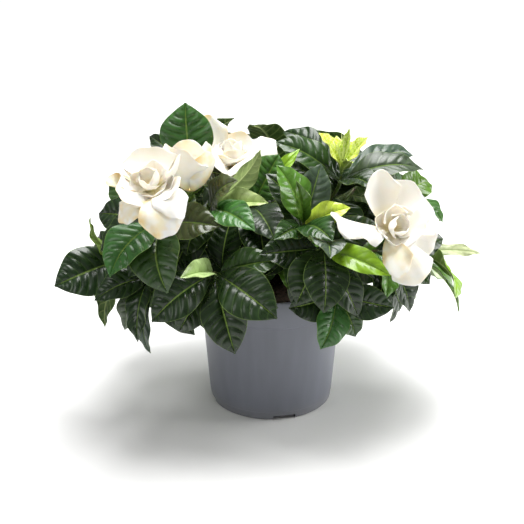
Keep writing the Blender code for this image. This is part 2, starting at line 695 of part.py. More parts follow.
def grow_shoots(paths):
    """Places every leaf, the measured ones first, then joins each shoot's leaves to its stem."""
    grown = {shoot.name: [] for shoot in SHOOTS}
    for shoot in SHOOTS:
        for index, leaf in enumerate(shoot.leaves):
            base = down_stem(paths[shoot.name], BUD_LENGTH + NODE_SPACING * (index // 2))
            blade = leaf_blade(base, Vector(shoot.axis).normalized(), leaf)
            grown[shoot.name].append(place(blade, "shoot_" + shoot.name))
    for shoot in SHOOTS:
        axis = Vector(shoot.axis).normalized()
        for index in range(len(shoot.leaves), len(shoot.leaves) + shoot.more):
            base = down_stem(paths[shoot.name], BUD_LENGTH + NODE_SPACING * (index // 2))
            leaf = whorl_leaf(base, axis, index, 0.072, 0.037)
            grown[shoot.name].append(place(leaf_blade(base, axis, leaf), "shoot_" + shoot.name))
    for shoot in SHOOTS:
        body = tube("shoot_" + shoot.name, paths[shoot.name], SHOOT_RADII, plant, GREEN)
        union(body, [
            sheet_object(f"{body.name}_leaf_{i + 1}", blade, LEAF_CELLS, LEAF_THICKNESS)
            for i, blade in enumerate(b for b in grown[shoot.name] if b)
        ])


for old in list(bpy.data.objects):
    bpy.data.objects.remove(old)
plant = bpy.data.collections.new("potted_gardenia")
helpers = bpy.data.collections.new("helpers")
helpers.hide_render = True
bpy.context.scene.collection.children.link(plant)
bpy.context.scene.collection.children.link(helpers)
material("pot_plastic", (0.10, 0.105, 0.12), 0.45)
material("potting_mix", (0.03, 0.02, 0.015), 0.95)
material(WOOD, (0.16, 0.12, 0.08), 0.8)
material(GREEN, (0.03, 0.09, 0.02), 0.3)
material(YOUNG, (0.35, 0.50, 0.05), 0.35)
material(CALYX_GREEN, (0.12, 0.25, 0.05), 0.45)
material(PETAL_WHITE, (0.92, 0.86, 0.72), 0.5)
build_pot()
build_mix()
stem_paths = grow_stems()
grow_flowers(stem_paths)
grow_young_tip(stem_paths)
grow_shoots(stem_paths)
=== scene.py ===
"""A gardenia in a nursery pot: the looks of each piece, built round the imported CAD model. Metres, +Z up."""

import math
import random
from collections import namedtuple

import bpy
import numpy as np
from mathutils import Matrix, Vector
from mathutils.bvhtree import BVHTree


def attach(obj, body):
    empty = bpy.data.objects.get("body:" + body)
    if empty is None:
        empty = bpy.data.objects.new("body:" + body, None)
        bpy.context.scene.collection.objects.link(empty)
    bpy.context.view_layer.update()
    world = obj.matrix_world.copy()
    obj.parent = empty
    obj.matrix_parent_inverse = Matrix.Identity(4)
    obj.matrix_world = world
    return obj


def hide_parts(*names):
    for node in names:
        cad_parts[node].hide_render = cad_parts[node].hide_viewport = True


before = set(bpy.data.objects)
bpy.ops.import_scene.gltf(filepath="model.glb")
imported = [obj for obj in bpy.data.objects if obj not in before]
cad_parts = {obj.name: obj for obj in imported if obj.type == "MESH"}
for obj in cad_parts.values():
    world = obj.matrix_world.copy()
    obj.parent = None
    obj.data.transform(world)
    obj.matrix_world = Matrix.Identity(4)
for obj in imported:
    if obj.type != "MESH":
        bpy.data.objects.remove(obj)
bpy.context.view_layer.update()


# ---- The pot -----------------------------------------------------------------------------------------------
# A 13 cm nursery pot, injection-moulded in dark grey polypropylene: a thin tapered wall, a rim band that
# stands out a little, a rolled lip, a foot ring and four drain slots cut through the edge of the foot.

POT_HEIGHT = 0.117
POT_RIM_RADIUS = 0.065
POT_FOOT_RADIUS = 0.054
POT_WALL = 0.0018
POT_FLOOR = 0.0022
FOOT_CHAMFER = 0.0018
FOOT_RING = 0.0060
FOOT_LINE = 0.0075
FOOT_STEP = 0.0004
PANEL_RISE = 0.0009
LIP_ROUND = 0.0009
BAND_HEIGHT = 0.024
BAND_STEP = 0.0012
POT_SEGMENTS = 96
SLOT_COUNT = 4
SLOT_SIZE = (0.020, 0.013, 0.0042)
SLOT_TURN = math.radians(12.8)
SLOT_BEVEL = 0.0006


def linear(colour):
    """A hex sRGB colour as linear red, green, blue and 1."""
    shares = [int(colour[i : i + 2], 16) / 255 for i in (1, 3, 5)]
    return (*(c / 12.92 if c <= 0.04045 else ((c + 0.055) / 1.055) ** 2.4 for c in shares), 1.0)


def add(tree, kind, values=None, links=None, ramp=(), **settings):
    """Adds one node, with its settings, the values of its sockets, the links into them, each from a socket or
    from a node's first one, and its colour ramp as (position, colour) pairs."""
    made = tree.nodes.new("ShaderNode" + kind)
    for name, value in settings.items():
        setattr(made, name, value)
    for socket, value in (values or {}).items():
        made.inputs[socket].default_value = value
    for socket, source in (links or {}).items():
        tree.links.new(getattr(source, "outputs", [source])[0], made.inputs[socket])
    for index, (position, colour) in enumerate(ramp):
        made.color_ramp.elements[index].position = position
        made.color_ramp.elements[index].color = linear(colour)
    return made


def new_material(name, **sockets):
    """A material with its shader's constant values set, as (material, node tree, place on the object)."""
    made = bpy.data.materials.new(name)
    made.use_nodes = True
    shader = made.node_tree.nodes["Principled BSDF"]
    for socket, value in sockets.items():
        shader.inputs[socket.replace("_", " ")].default_value = value
    return made, made.node_tree, add(made.node_tree, "TexCoord").outputs["Object"]


def wire(tree, **sources):
    """Links nodes into the shader, each into the socket that it is named for."""
    for socket, source in sources.items():
        tree.links.new(source.outputs[0], tree.nodes["Principled BSDF"].inputs[socket.replace("_", " ")])


def work_on(obj, *others):
    """Leaves only these objects selected, the first of them active."""
    for other in list(bpy.context.selected_objects):
        other.select_set(False)
    for other in (obj, *others):
        other.select_set(True)
    bpy.context.view_layer.objects.active = obj


def smooth(obj, degrees):
    work_on(obj)
    bpy.ops.object.shade_smooth_by_angle(angle=math.radians(degrees))


def apply_place():
    bpy.ops.object.transform_apply(location=True, rotation=True, scale=True)


def turned(name, rings, segments):
    """A closed round body raised from a disc, ring by ring, each a (radius, height)."""
    (radius, height), *above = rings
    bpy.ops.mesh.primitive_circle_add(
        vertices=segments, radius=radius, location=(0, 0, height), fill_type="NGON"
    )
    made = bpy.context.active_object
    made.name = name
    work_on(made)
    apply_place()
    bpy.ops.object.mode_set(mode="EDIT")
    bpy.ops.mesh.select_all(action="SELECT")
    for next_radius, next_height in above:
        bpy.ops.mesh.extrude_region_move(TRANSFORM_OT_translate={"value": (0, 0, next_height - height)})
        share = next_radius / radius
        bpy.ops.transform.resize(value=(share, share, 1), center_override=(0, 0, 0))
        radius, height = next_radius, next_height
    bpy.ops.mesh.select_all(action="SELECT")
    bpy.ops.mesh.normals_make_consistent(inside=False)
    bpy.ops.object.mode_set(mode="OBJECT")
    return made


def finish_piece(obj, slot, *nodes):
    """Fastens a piece to the plant's one body, in place of its CAD nodes."""
    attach(obj, "root")
    if nodes:
        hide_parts(*nodes)


taper = (POT_RIM_RADIUS - BAND_STEP - POT_FOOT_RADIUS) / POT_HEIGHT
band_low = POT_HEIGHT - BAND_HEIGHT
wall_at_band = POT_FOOT_RADIUS + taper * band_low
inside_foot = POT_FOOT_RADIUS - POT_WALL
inside_lip = POT_RIM_RADIUS - POT_WALL - BAND_STEP
# Rings of the pot as (radius, height): the sunk panel under it, the foot ring, up the outside, over the
# lip and down the inside to the floor.
pot_rings = [
    (POT_FOOT_RADIUS - FOOT_CHAMFER - FOOT_RING - 0.0012, PANEL_RISE),
    (POT_FOOT_RADIUS - FOOT_CHAMFER - FOOT_RING, 0.0),
    (POT_FOOT_RADIUS - FOOT_CHAMFER, 0.0),
    (POT_FOOT_RADIUS - 0.0005, 0.0009),
    (POT_FOOT_RADIUS, FOOT_CHAMFER + 0.0004),
    (POT_FOOT_RADIUS + taper * FOOT_LINE - FOOT_STEP / 2, FOOT_LINE),
    (POT_FOOT_RADIUS + taper * FOOT_LINE + FOOT_STEP / 2, FOOT_LINE + FOOT_STEP),
    (POT_FOOT_RADIUS + taper * 0.05, 0.05),
    (wall_at_band - 0.0002, band_low - BAND_STEP - 0.0004),
    (wall_at_band + 0.0003, band_low - BAND_STEP),
    (wall_at_band + BAND_STEP * 0.8, band_low - 0.0003),
    (wall_at_band + BAND_STEP, band_low + 0.0003),
    (POT_RIM_RADIUS, POT_HEIGHT - LIP_ROUND * 1.2),
    (POT_RIM_RADIUS - LIP_ROUND * 0.3, POT_HEIGHT - LIP_ROUND * 0.3),
    (POT_RIM_RADIUS - LIP_ROUND, POT_HEIGHT),
    (inside_lip + LIP_ROUND, POT_HEIGHT),
    (inside_lip + LIP_ROUND * 0.3, POT_HEIGHT - LIP_ROUND * 0.3),
    (inside_lip, POT_HEIGHT - LIP_ROUND * 1.2),
    (inside_foot + 0.0004, POT_FLOOR + 0.0012),
    (inside_foot - 0.0006, POT_FLOOR),
]
pot = turned("nursery_pot", pot_rings, POT_SEGMENTS)

# The drain slots are cut one after another, each by a block with eased edges.
for index in range(SLOT_COUNT):
    bpy.ops.mesh.primitive_cube_add(size=1, location=(0, -POT_FOOT_RADIUS, 0))
    cutter = bpy.context.active_object
    work_on(cutter)
    cutter.scale = (SLOT_SIZE[0], SLOT_SIZE[1], SLOT_SIZE[2] * 2)
    apply_place()
    cutter.rotation_euler = (0, 0, SLOT_TURN + index * math.tau / SLOT_COUNT)
    apply_place()
    bpy.ops.object.mode_set(mode="EDIT")
    bpy.ops.mesh.select_all(action="SELECT")
    bpy.ops.mesh.bevel(offset=SLOT_BEVEL, segments=2)
    bpy.ops.object.mode_set(mode="OBJECT")
    work_on(pot)
    cut = pot.modifiers.new("drain_slot", "BOOLEAN")
    cut.operation = "DIFFERENCE"
    cut.object = cutter
    cut.solver = "EXACT"
    bpy.ops.object.modifier_apply(modifier=cut.name)
    bpy.data.objects.remove(cutter)
smooth(pot, 28)

# Moulded polypropylene: dark grey, a satin skin with the mould's fine grain, which gives a broad soft sheen;
# faint upright flow streaks, a few pale scuff specks, and dust that dulls the foot.
plastic, tree, place_in_pot = new_material("moulded_polypropylene", IOR=1.49)
flow = add(tree, "Mapping", {"Scale": (1, 1, 0.12)}, {"Vector": place_in_pot})
streaks = add(tree, "TexNoise", {"Scale": 90.0, "Detail": 3.0}, {"Vector": flow})
shade = add(tree, "ValToRGB", links={"Fac": streaks}, ramp=((0.0, "#686b74"), (1.0, "#787b85")))
specks = add(tree, "TexNoise", {"Scale": 420.0, "Detail": 2.0}, {"Vector": place_in_pot})
speck_share = add(tree, "MapRange", {"From Min": 0.72, "From Max": 0.80, "To Max": 0.5}, {"Value": specks})
height = add(tree, "SeparateXYZ", links={"Vector": place_in_pot}).outputs["Z"]
foot_dust = add(tree, "MapRange", {"From Min": 0.014, "From Max": 0.0, "To Max": 0.30}, {"Value": height})
dust = add(tree, "Math", links={0: speck_share, 1: foot_dust}, operation="MAXIMUM")
dusty = add(tree, "MixRGB", {"Color2": linear("#8b8984")}, {"Fac": dust, "Color1": shade})
satin = add(tree, "MapRange", {"To Min": 0.36, "To Max": 0.52}, {"Value": streaks})
# The mould's grain is about 0.2 mm. It is drawn at 0.8 mm, so that it shows.
grain = add(tree, "TexNoise", {"Scale": 1250.0, "Detail": 1.0}, {"Vector": place_in_pot})
grain_bump = add(tree, "Bump", {"Strength": 0.12, "Distance": 0.0001}, {"Height": grain})
wire(tree, Base_Color=dusty, Roughness=satin, Normal=grain_bump)
pot.data.materials.clear()
pot.data.materials.append(plastic)
finish_piece(pot, "pot_plastic", "pot")


# ---- The potting mix ---------------------------------------------------------------------------------------
# Damp peat with composted bark, filled to 4 mm under the rim and pressed by hand: an uneven top with loose
# crumbs and small bark chips on it.

GAP = 0.0004
MIX_BELOW_RIM = 0.004
MIX_SEGMENTS = 48
MIX_CRUMBS = 150
MIX_RING_SHARES = (0.97, 0.88, 0.78, 0.68, 0.57, 0.46, 0.35, 0.24, 0.12)
CRUMB_SIZES = (0.0008, 0.0024)

rng = random.Random(11)


def jitter(reach):
    """A small random shift, up to reach each way."""
    return Vector([rng.uniform(-1, 1) for _ in range(3)]) * reach


mix_top = POT_HEIGHT - MIX_BELOW_RIM
mix_low_radius = inside_foot - 0.001
mix_high_radius = inside_lip - 0.0008
mix_rings = [(mix_low_radius, POT_FLOOR + GAP), (mix_high_radius, mix_top - 0.001)]
mix_rings += [(mix_high_radius * share, mix_top) for share in MIX_RING_SHARES]
mix = turned("pressed_potting_mix", mix_rings, MIX_SEGMENTS)
for vertex in mix.data.vertices:
    if vertex.co.z > mix_top - 0.0015:
        vertex.co.z += rng.uniform(-0.0014, 0.0006)
bpy.ops.mesh.primitive_ico_sphere_add(subdivisions=1, radius=1)
crumb = bpy.context.active_object
crumbs = []
for index in range(MIX_CRUMBS):
    piece = crumb.copy()
    piece.data = crumb.data.copy()
    bpy.context.scene.collection.objects.link(piece)
    size = rng.uniform(*CRUMB_SIZES)
    flat = rng.uniform(0.35, 0.8)
    turn = Matrix.Rotation(rng.uniform(0, math.tau), 4, "Z")
    turn @= Matrix.Rotation(rng.uniform(-0.5, 0.5), 4, "X")
    reach = (mix_high_radius - 0.003) * math.sqrt(rng.random())
    angle = rng.uniform(0, math.tau)
    spot = Vector((reach * math.cos(angle), reach * math.sin(angle), mix_top + size * 0.2))
    shape = Matrix.Diagonal((size * rng.uniform(0.7, 1.6), size, size * flat, 1))
    piece.data.transform(Matrix.Translation(spot) @ turn @ shape)
    for vertex in piece.data.vertices:
        vertex.co += jitter(size) * 0.18
    crumbs.append(piece)
bpy.data.objects.remove(crumb)
work_on(mix, *crumbs)
bpy.ops.object.join()
smooth(mix, 35)

# Peat and bark: near-black brown with paler fibres, dry enough on top to have no sheen.
peat, tree, place_in_mix = new_material("damp_peat_and_bark", Roughness=0.95, IOR=1.4)
clods = add(tree, "TexNoise", {"Scale": 420.0, "Detail": 5.0}, {"Vector": place_in_mix})
earth = add(tree, "ValToRGB", links={"Fac": clods}, ramp=((0.38, "#15100c"), (0.72, "#4a382a")))
lumps = add(tree, "Bump", {"Strength": 0.6, "Distance": 0.0006}, {"Height": clods})
wire(tree, Base_Color=earth, Normal=lumps)
mix.data.materials.clear()
mix.data.materials.append(peat)
finish_piece(mix, "potting_mix", "potting_mix")


# ---- The woody stems ---------------------------------------------------------------------------------------
# Four stems come up out of the mix and lean apart. They are a few years old: grey-brown bark with fine
# lengthwise cracks, ringed by the scars of old leaves, and cut back at the top where the shoots begin.

CLEARANCE = 0.0012
FOOT_DEPTH = 0.003
SCAR_PITCH = 0.0075
SCAR_HEIGHT = 0.00035
BARK_ROUGHNESS = 0.00012
TRUNK_RADII = (0.0046, 0.0034)
SHOOT_RADII = (0.0019, 0.0013)
TRUNKS = {
    "front_left": ((-0.020, -0.016, 0.0), (-0.036, -0.030, 0.158)),
    "front_right": ((0.020, -0.016, 0.0), (0.036, -0.028, 0.156)),
    "back_left": ((-0.018, 0.018, 0.0), (-0.040, 0.032, 0.160)),
    "back_right": ((0.020, 0.018, 0.0), (0.040, 0.034, 0.160)),
}

placed = []


def corners_of(points):
    low = [min(p[k] for p in points) for k in range(3)]
    high = [max(p[k] for p in points) for k in range(3)]
    return low, high


def bezier(start, bend, end, t):
    return (1 - t) ** 2 * start + 2 * t * (1 - t) * bend + t * t * end


def trunk_point(foot, top, rise):
    """The point on a woody stem at that share of its height: it stands upright and then leans out."""
    return bezier(foot, Vector((foot.x, foot.y, (foot.z + top.z) / 2)), top, rise)


def trunk_path(name):
    """A woody stem's path: straight up for FOOT_DEPTH from just above the mix, then leaning out."""
    foot, top = (Vector(v) for v in TRUNKS[name])
    foot.z = POT_HEIGHT - MIX_BELOW_RIM + GAP + FOOT_DEPTH
    return [foot - Vector((0.0, 0.0, FOOT_DEPTH))] + [trunk_point(foot, top, i / 4) for i in range(5)]


def tube_tree(path, radius):
    """A square tube round a path, as a BVH tree with its points, to see what it would meet."""
    points, faces = [], []
    for i, p in enumerate(path):
        ahead = path[min(i + 1, len(path) - 1)] - path[max(i - 1, 0)]
        across = ahead.cross(Vector((0.3, 0.2, 0.9))).normalized()
        up = ahead.cross(across).normalized()
        points += [p + across * radius, p + up * radius, p - across * radius, p - up * radius]
    for i in range(len(path) - 1):
        for k in range(4):
            a, b = 4 * i + k, 4 * i + (k + 1) % 4
            faces.append((a, b, b + 4, a + 4))
    return BVHTree.FromPolygons(points, faces), points


def rounded_path(points, spacing):
    """A smooth line through the points, as a point every spacing, and each one's distance along it."""
    ends = [points[0] * 2 - points[1], *points, points[-1] * 2 - points[-2]]
    line = []
    for p, q, r, s in zip(ends, ends[1:], ends[2:], ends[3:]):
        steps = max(2, round((r - q).length / spacing))
        for i in range(steps):
            t = i / steps
            point = q + (r - p) * (t / 2) + (p * 2 - q * 5 + r * 4 - s) * (t * t / 2)
            line.append(point + (q * 3 - p - r * 3 + s) * (t**3 / 2))
    line.append(points[-1])
    far = [0.0]
    for p, q in zip(line, line[1:]):
        far.append(far[-1] + (q - p).length)
    return line, far


def stem(name, path, radius_at, material, sides=12, spacing=0.0014):
    """A round stem along a path. radius_at gives its radius from the distance along it and its length."""
    line, far = rounded_path(path, spacing)
    curve = bpy.data.curves.new(name, "CURVE")
    curve.dimensions = "3D"
    curve.bevel_depth = 1.0
    curve.bevel_resolution = sides // 4 - 1
    curve.use_fill_caps = True
    spline = curve.splines.new("POLY")
    spline.points.add(len(line) - 1)
    for point, p, distance in zip(spline.points, line, far):
        point.co = (*p, 1.0)
        point.radius = radius_at(distance, far[-1])
    made = bpy.data.objects.new(name, curve)
    bpy.context.scene.collection.objects.link(made)
    work_on(made)
    bpy.ops.object.convert(target="MESH")
    made = bpy.context.active_object
    bpy.ops.object.mode_set(mode="EDIT")
    bpy.ops.mesh.select_all(action="SELECT")
    bpy.ops.mesh.remove_doubles(threshold=0.00001)
    bpy.ops.mesh.normals_make_consistent(inside=False)
    bpy.ops.object.mode_set(mode="OBJECT")
    made.data.materials.clear()
    made.data.materials.append(material)
    smooth(made, 50)
    return made


# Lignified bark: matt grey-brown with darker cracks along the stem and pale corky flecks.
bark, tree, place_on_bark = new_material("lignified_bark", Roughness=0.85, IOR=1.45)
along_bark = add(tree, "Mapping", {"Scale": (1, 1, 0.25)}, {"Vector": place_on_bark})
cracks = add(tree, "TexNoise", {"Scale": 900.0, "Detail": 4.0}, {"Vector": along_bark})
bark_shade = add(tree, "ValToRGB", links={"Fac": cracks}, ramp=((0.35, "#3a2f24"), (0.68, "#8f8068")))
rough_bark = add(tree, "Bump", {"Strength": 0.8, "Distance": 0.0004}, {"Height": cracks})
wire(tree, Base_Color=bark_shade, Normal=rough_bark)


def bark_radius(distance, length):
    """Tapers from the foot to the top, with a low ring at each old leaf's scar."""
    ring = SCAR_HEIGHT * math.exp(-(((distance / SCAR_PITCH) % 1 - 0.5) ** 2) * 90)
    return TRUNK_RADII[0] + (TRUNK_RADII[1] - TRUNK_RADII[0]) * distance / length + ring - 0.0002


for name in TRUNKS:
    path = trunk_path(name)
    tree_of_stem, points = tube_tree(path, TRUNK_RADII[0] + CLEARANCE / 2)
    placed.append(("woody_stem_" + name, (tree_of_stem, None), corners_of(points)))
    woody = stem("woody_stem_bark_" + name, path, bark_radius, bark, sides=16)
    for vertex in woody.data.vertices:
        vertex.co += jitter(BARK_ROUGHNESS)
    finish_piece(woody, "bark", "woody_stem_" + name)


# ---- The green stems ---------------------------------------------------------------------------------------
# Each shoot's stem leaves the bark of a woody stem and turns up to its bud. It is this year's growth: green
# with brown on it, slightly glossy, and swollen where each pair of leaves sits.

BUD_LENGTH = 0.006
NODE_SPACING = 0.0035
GOLDEN_ANGLE = math.radians(137.5)
STEM_NODE_PITCH = 0.012
BRANCH_TURNS = (0, 40, -40, 80, -80)
BRANCH_RISE_CHANGES = (0.0, -0.07, 0.07, -0.14, 0.14, -0.21, 0.21)
BOWS_TRIED = 8
NODE_SWELLING = 0.0004
SEAT_HEIGHT = 0.0026
SEAT_RADII = {"outer": 0.0050, "inner": 0.0030, "heart": 0.0022}
SEAT_DROP = {"outer": 0.0084, "inner": 0.0044, "heart": 0.0004}

# A leaf: where its tip is, its width, its arch as a share of its length, how deeply it folds along its
# midrib, and how far it's rolled about its length, in degrees.
Leaf = namedtuple("Leaf", "tip width arch fold roll", defaults=(0.13, 0.28, 0))
# A shoot: the woody stem that it leaves, at what share of its height, where its bud is, the way it points,
# its leaves, and how many more it has by rule. A flower is given in the same way, with its whorls of petals.
Shoot = namedtuple("Shoot", "name trunk rise hub axis leaves more", defaults=(0,))
Flower = namedtuple("Flower", "name trunk rise centre axis outer inner heart")

SHOOTS = [
    Shoot("front_left_low", "front_left", 0.3, (-0.047, -0.078, 0.151), (-0.15, -0.80, 0.55), [
        Leaf((-0.099, -0.100, 0.117), 0.038),
        Leaf((-0.030, -0.112, 0.093), 0.038),
        Leaf((0.008, -0.108, 0.120), 0.042),
        Leaf((-0.070, -0.122, 0.168), 0.018, 0.05, 0.9),
        Leaf((0.006, -0.084, 0.165), 0.028),
        Leaf((-0.078, -0.086, 0.100), 0.032),
    ]),
    Shoot("left_middle", "front_left", 0.55, (-0.092, -0.052, 0.186), (-0.40, -0.62, 0.66), [
        Leaf((-0.132, -0.098, 0.157), 0.042),
        Leaf((-0.142, -0.062, 0.164), 0.034),
        Leaf((-0.149, -0.030, 0.188), 0.034),
        Leaf((-0.111, -0.104, 0.152), 0.046, 0.20),
        Leaf((-0.051, -0.080, 0.214), 0.034),
        Leaf((-0.138, 0.004, 0.214), 0.030),
    ]),
    Shoot("far_left", "back_left", 0.35, (-0.128, -0.012, 0.136), (-0.85, -0.30, 0.42), [
        Leaf((-0.185, -0.044, 0.125), 0.046, 0.10, 0.2, -60),
        Leaf((-0.153, -0.040, 0.186), 0.017),
        Leaf((-0.144, -0.046, 0.086), 0.030, 0.13, 0.28, 60),
        Leaf((-0.159, 0.030, 0.135), 0.032),
        Leaf((-0.168, 0.030, 0.112), 0.036),
    ]),
    Shoot("left_low", "front_left", 0.1, (-0.102, -0.050, 0.136), (-0.60, -0.70, 0.30), [
        Leaf((-0.126, -0.062, 0.091), 0.026),
        Leaf((-0.112, -0.090, 0.094), 0.026),
        Leaf((-0.104, -0.074, 0.074), 0.018),
        Leaf((-0.150, -0.066, 0.122), 0.026),
    ]),
    Shoot("top_left", "back_left", 0.85, (-0.068, 0.004, 0.212), (-0.20, -0.72, 0.62), [
        Leaf((-0.074, 0.010, 0.270), 0.048, 0.06, 0.20),
        Leaf((-0.108, 0.035, 0.234), 0.018),
        Leaf((-0.120, -0.012, 0.206), 0.032),
        Leaf((-0.042, 0.010, 0.202), 0.028),
    ]),
    Shoot("middle_left", "front_left", 0.9, (-0.053, -0.040, 0.194), (-0.10, -0.60, 0.76), [
        Leaf((-0.006, -0.030, 0.240), 0.020, 0.06, 0.4, 180),
        Leaf((-0.086, -0.074, 0.186), 0.034),
        Leaf((-0.004, -0.062, 0.208), 0.020, 0.05, 0.7),
        Leaf((-0.016, -0.092, 0.186), 0.030),
        Leaf((-0.060, -0.096, 0.166), 0.034),
        Leaf((-0.029, -0.060, 0.219), 0.032),
    ]),
    Shoot("middle", "front_left", 0.75, (-0.016, -0.022, 0.190), (0.05, -0.66, 0.74), [
        Leaf((0.006, -0.014, 0.232), 0.040, 0.06, 0.2, 0),
        Leaf((-0.011, 0.010, 0.232), 0.024),
        Leaf((0.027, -0.004, 0.233), 0.014, 0.10),
        Leaf((0.003, -0.074, 0.178), 0.034),
        Leaf((-0.005, -0.080, 0.156), 0.036),
    ]),
    Shoot("middle_right", "front_right", 0.92, (0.026, -0.056, 0.184), (0.10, -0.66, 0.74), [
        Leaf((0.005, -0.050, 0.236), 0.032, 0.10, 0.3, 15),
        Leaf((0.020, -0.074, 0.229), 0.014, 0.05, 0.7),
        Leaf((0.043, -0.040, 0.232), 0.030, 0.06),
        Leaf((0.048, -0.100, 0.190), 0.030),
        Leaf((0.012, -0.090, 0.199), 0.022),
        Leaf((0.060, -0.056, 0.210), 0.022),
    ]),
    Shoot("top_right", "back_right", 0.95, (0.060, 0.012, 0.200), (0.05, -0.40, 0.90), [
        Leaf((0.134, 0.022, 0.210), 0.032, 0.12),
        Leaf((0.004, 0.016, 0.234), 0.034, 0.10),
        Leaf((0.010, 0.050, 0.236), 0.032),
        Leaf((0.088, -0.026, 0.206), 0.030),
        Leaf((0.076, 0.072, 0.212), 0.034),
        Leaf((0.131, 0.060, 0.211), 0.026),
    ]),
    Shoot("right_back", "back_right", 0.7, (0.112, 0.028, 0.178), (0.62, -0.12, 0.76), [
        Leaf((0.104, 0.012, 0.218), 0.034),
        Leaf((0.142, 0.050, 0.186), 0.030),
        Leaf((0.150, 0.000, 0.170), 0.030),
        Leaf((0.158, 0.030, 0.171), 0.018),
        Leaf((0.120, 0.086, 0.176), 0.036),
    ]),
    Shoot("right_low", "front_right", 0.5, (0.086, -0.044, 0.156), (0.60, -0.62, 0.48), [
        Leaf((0.108, -0.084, 0.150), 0.026, 0.16, 0.4),
        Leaf((0.120, -0.060, 0.107), 0.030),
        Leaf((0.142, -0.020, 0.118), 0.030),
        Leaf((0.092, -0.078, 0.112), 0.026),
        Leaf((0.112, -0.036, 0.096), 0.030),
        Leaf((0.146, -0.008, 0.152), 0.032),
    ]),
    Shoot("front_right", "front_right", 0.75, (0.042, -0.072, 0.172), (0.15, -0.78, 0.60), [
        Leaf((0.020, -0.098, 0.132), 0.036),
        Leaf((0.042, -0.110, 0.128), 0.038),
        Leaf((0.070, -0.096, 0.118), 0.028),
        Leaf((-0.006, -0.106, 0.187), 0.032, -0.06),
        Leaf((0.047, -0.114, 0.182), 0.032, 0.16),
        Leaf((0.096, -0.104, 0.158), 0.022, 0.12, 0.4),
    ]),
    Shoot("front_right_low", "front_right", 0.2, (0.054, -0.072, 0.128), (0.35, -0.86, 0.36), [
        Leaf((0.041, -0.100, 0.091), 0.030),
        Leaf((0.070, -0.080, 0.092), 0.024),
        Leaf((0.014, -0.090, 0.124), 0.032),
        Leaf((0.102, -0.080, 0.132), 0.030),
    ]),
    Shoot("right_side", "back_right", 0.35, (0.124, 0.000, 0.138), (0.88, -0.10, 0.46), [
        Leaf((0.187, 0.014, 0.132), 0.014, 0.03),
    ], 5),
    Shoot("back_left_low", "back_left", 0.15, (-0.098, 0.074, 0.136), (-0.66, 0.66, 0.36), [], 6),
    Shoot("back_left", "back_left", 0.70, (-0.070, 0.090, 0.170), (-0.46, 0.76, 0.44), [], 6),
    Shoot("back_middle_low", "back_left", 0.50, (-0.014, 0.104, 0.138), (-0.10, 0.90, 0.42), [], 6),
    Shoot("back_middle", "back_right", 0.55, (0.008, 0.096, 0.186), (0.05, 0.62, 0.78), [], 6),
    Shoot("back_right_low", "back_right", 0.15, (0.080, 0.092, 0.136), (0.55, 0.74, 0.38), [], 6),
    Shoot("back_right", "back_right", 0.85, (0.080, 0.080, 0.172), (0.48, 0.74, 0.46), [], 6),
    Shoot("back_top", "back_left", 0.99, (-0.020, 0.056, 0.188), (-0.14, 0.76, 0.62), [], 5),
]


def petal(tip, width, arch=0.16, cup=0.25):
    """The clear space of an outer petal: its tip, its width, its arch and how far it's cupped."""
    return (tip, width, arch, cup)


FLOWERS = [
    Flower("left", "front_left", 0.99, (-0.096, -0.076, 0.226), (-0.25, -0.62, 0.74), [
        petal((-0.122, -0.094, 0.197), 0.026, 0.12, -0.2),
        petal((-0.080, -0.112, 0.186), 0.040, 0.16, -0.2),
        petal((-0.134, -0.070, 0.226), 0.024),
        petal((-0.124, -0.050, 0.250), 0.034),
        petal((-0.084, -0.042, 0.256), 0.038),
        petal((-0.062, -0.072, 0.228), 0.034),
    ], 5, 3),
    Flower("half_open", "back_left", 0.6, (-0.067, -0.040, 0.218), (0.10, -0.22, 0.97), [
        petal((-0.084, -0.058, 0.246), 0.034, 0.24, 0.9),
        petal((-0.050, -0.060, 0.240), 0.036, 0.24, 0.9),
        petal((-0.044, -0.034, 0.246), 0.032, 0.24, 0.9),
        petal((-0.064, -0.018, 0.248), 0.032, 0.24, 0.9),
        petal((-0.088, -0.030, 0.250), 0.030, 0.24, 0.9),
    ], 0, 0),
    Flower("back", "back_left", 0.92, (-0.034, 0.024, 0.214), (-0.05, 0.10, 0.99), [
        petal((-0.058, 0.006, 0.206), 0.026, 0.24, -0.3),
        petal((-0.064, 0.040, 0.246), 0.030),
        petal((-0.004, 0.022, 0.226), 0.032, 0.22),
        petal((-0.030, 0.068, 0.224), 0.034, 0.20),
        petal((0.002, 0.050, 0.224), 0.030, 0.20),
        petal((-0.024, -0.010, 0.220), 0.030, 0.22),
    ], 5, 3),
    Flower("right", "front_right", 0.99, (0.100, -0.060, 0.184), (0.42, -0.74, 0.52), [
        petal((0.086, -0.062, 0.229), 0.036, 0.14),
        petal((0.051, -0.096, 0.206), 0.024, 0.10),
        petal((0.094, -0.094, 0.150), 0.032, 0.16, -0.2),
        petal((0.122, -0.080, 0.144), 0.034, 0.16, -0.2),
        petal((0.144, -0.050, 0.172), 0.034),
        petal((0.128, -0.036, 0.214), 0.036),
    ], 5, 3),
]


def hits(trees, owner, corners):
    """Whether a new thing, (whole tree, outer tree), meets anything placed. In its own plant part only the
    outer trees count, because leaves of one shoot meet at its stem."""
    low, high = corners
    for other_owner, other_trees, (other_low, other_high) in placed:
        if any(low[k] > other_high[k] or high[k] < other_low[k] for k in range(3)):
            continue
        which = 1 if other_owner == owner else 0
        if other_trees[which] is None or trees[which] is None:
            continue
        if trees[which].overlap(other_trees[which]):
            return True
    return False


def axis_of(part):
    return Vector(part.axis).normalized()


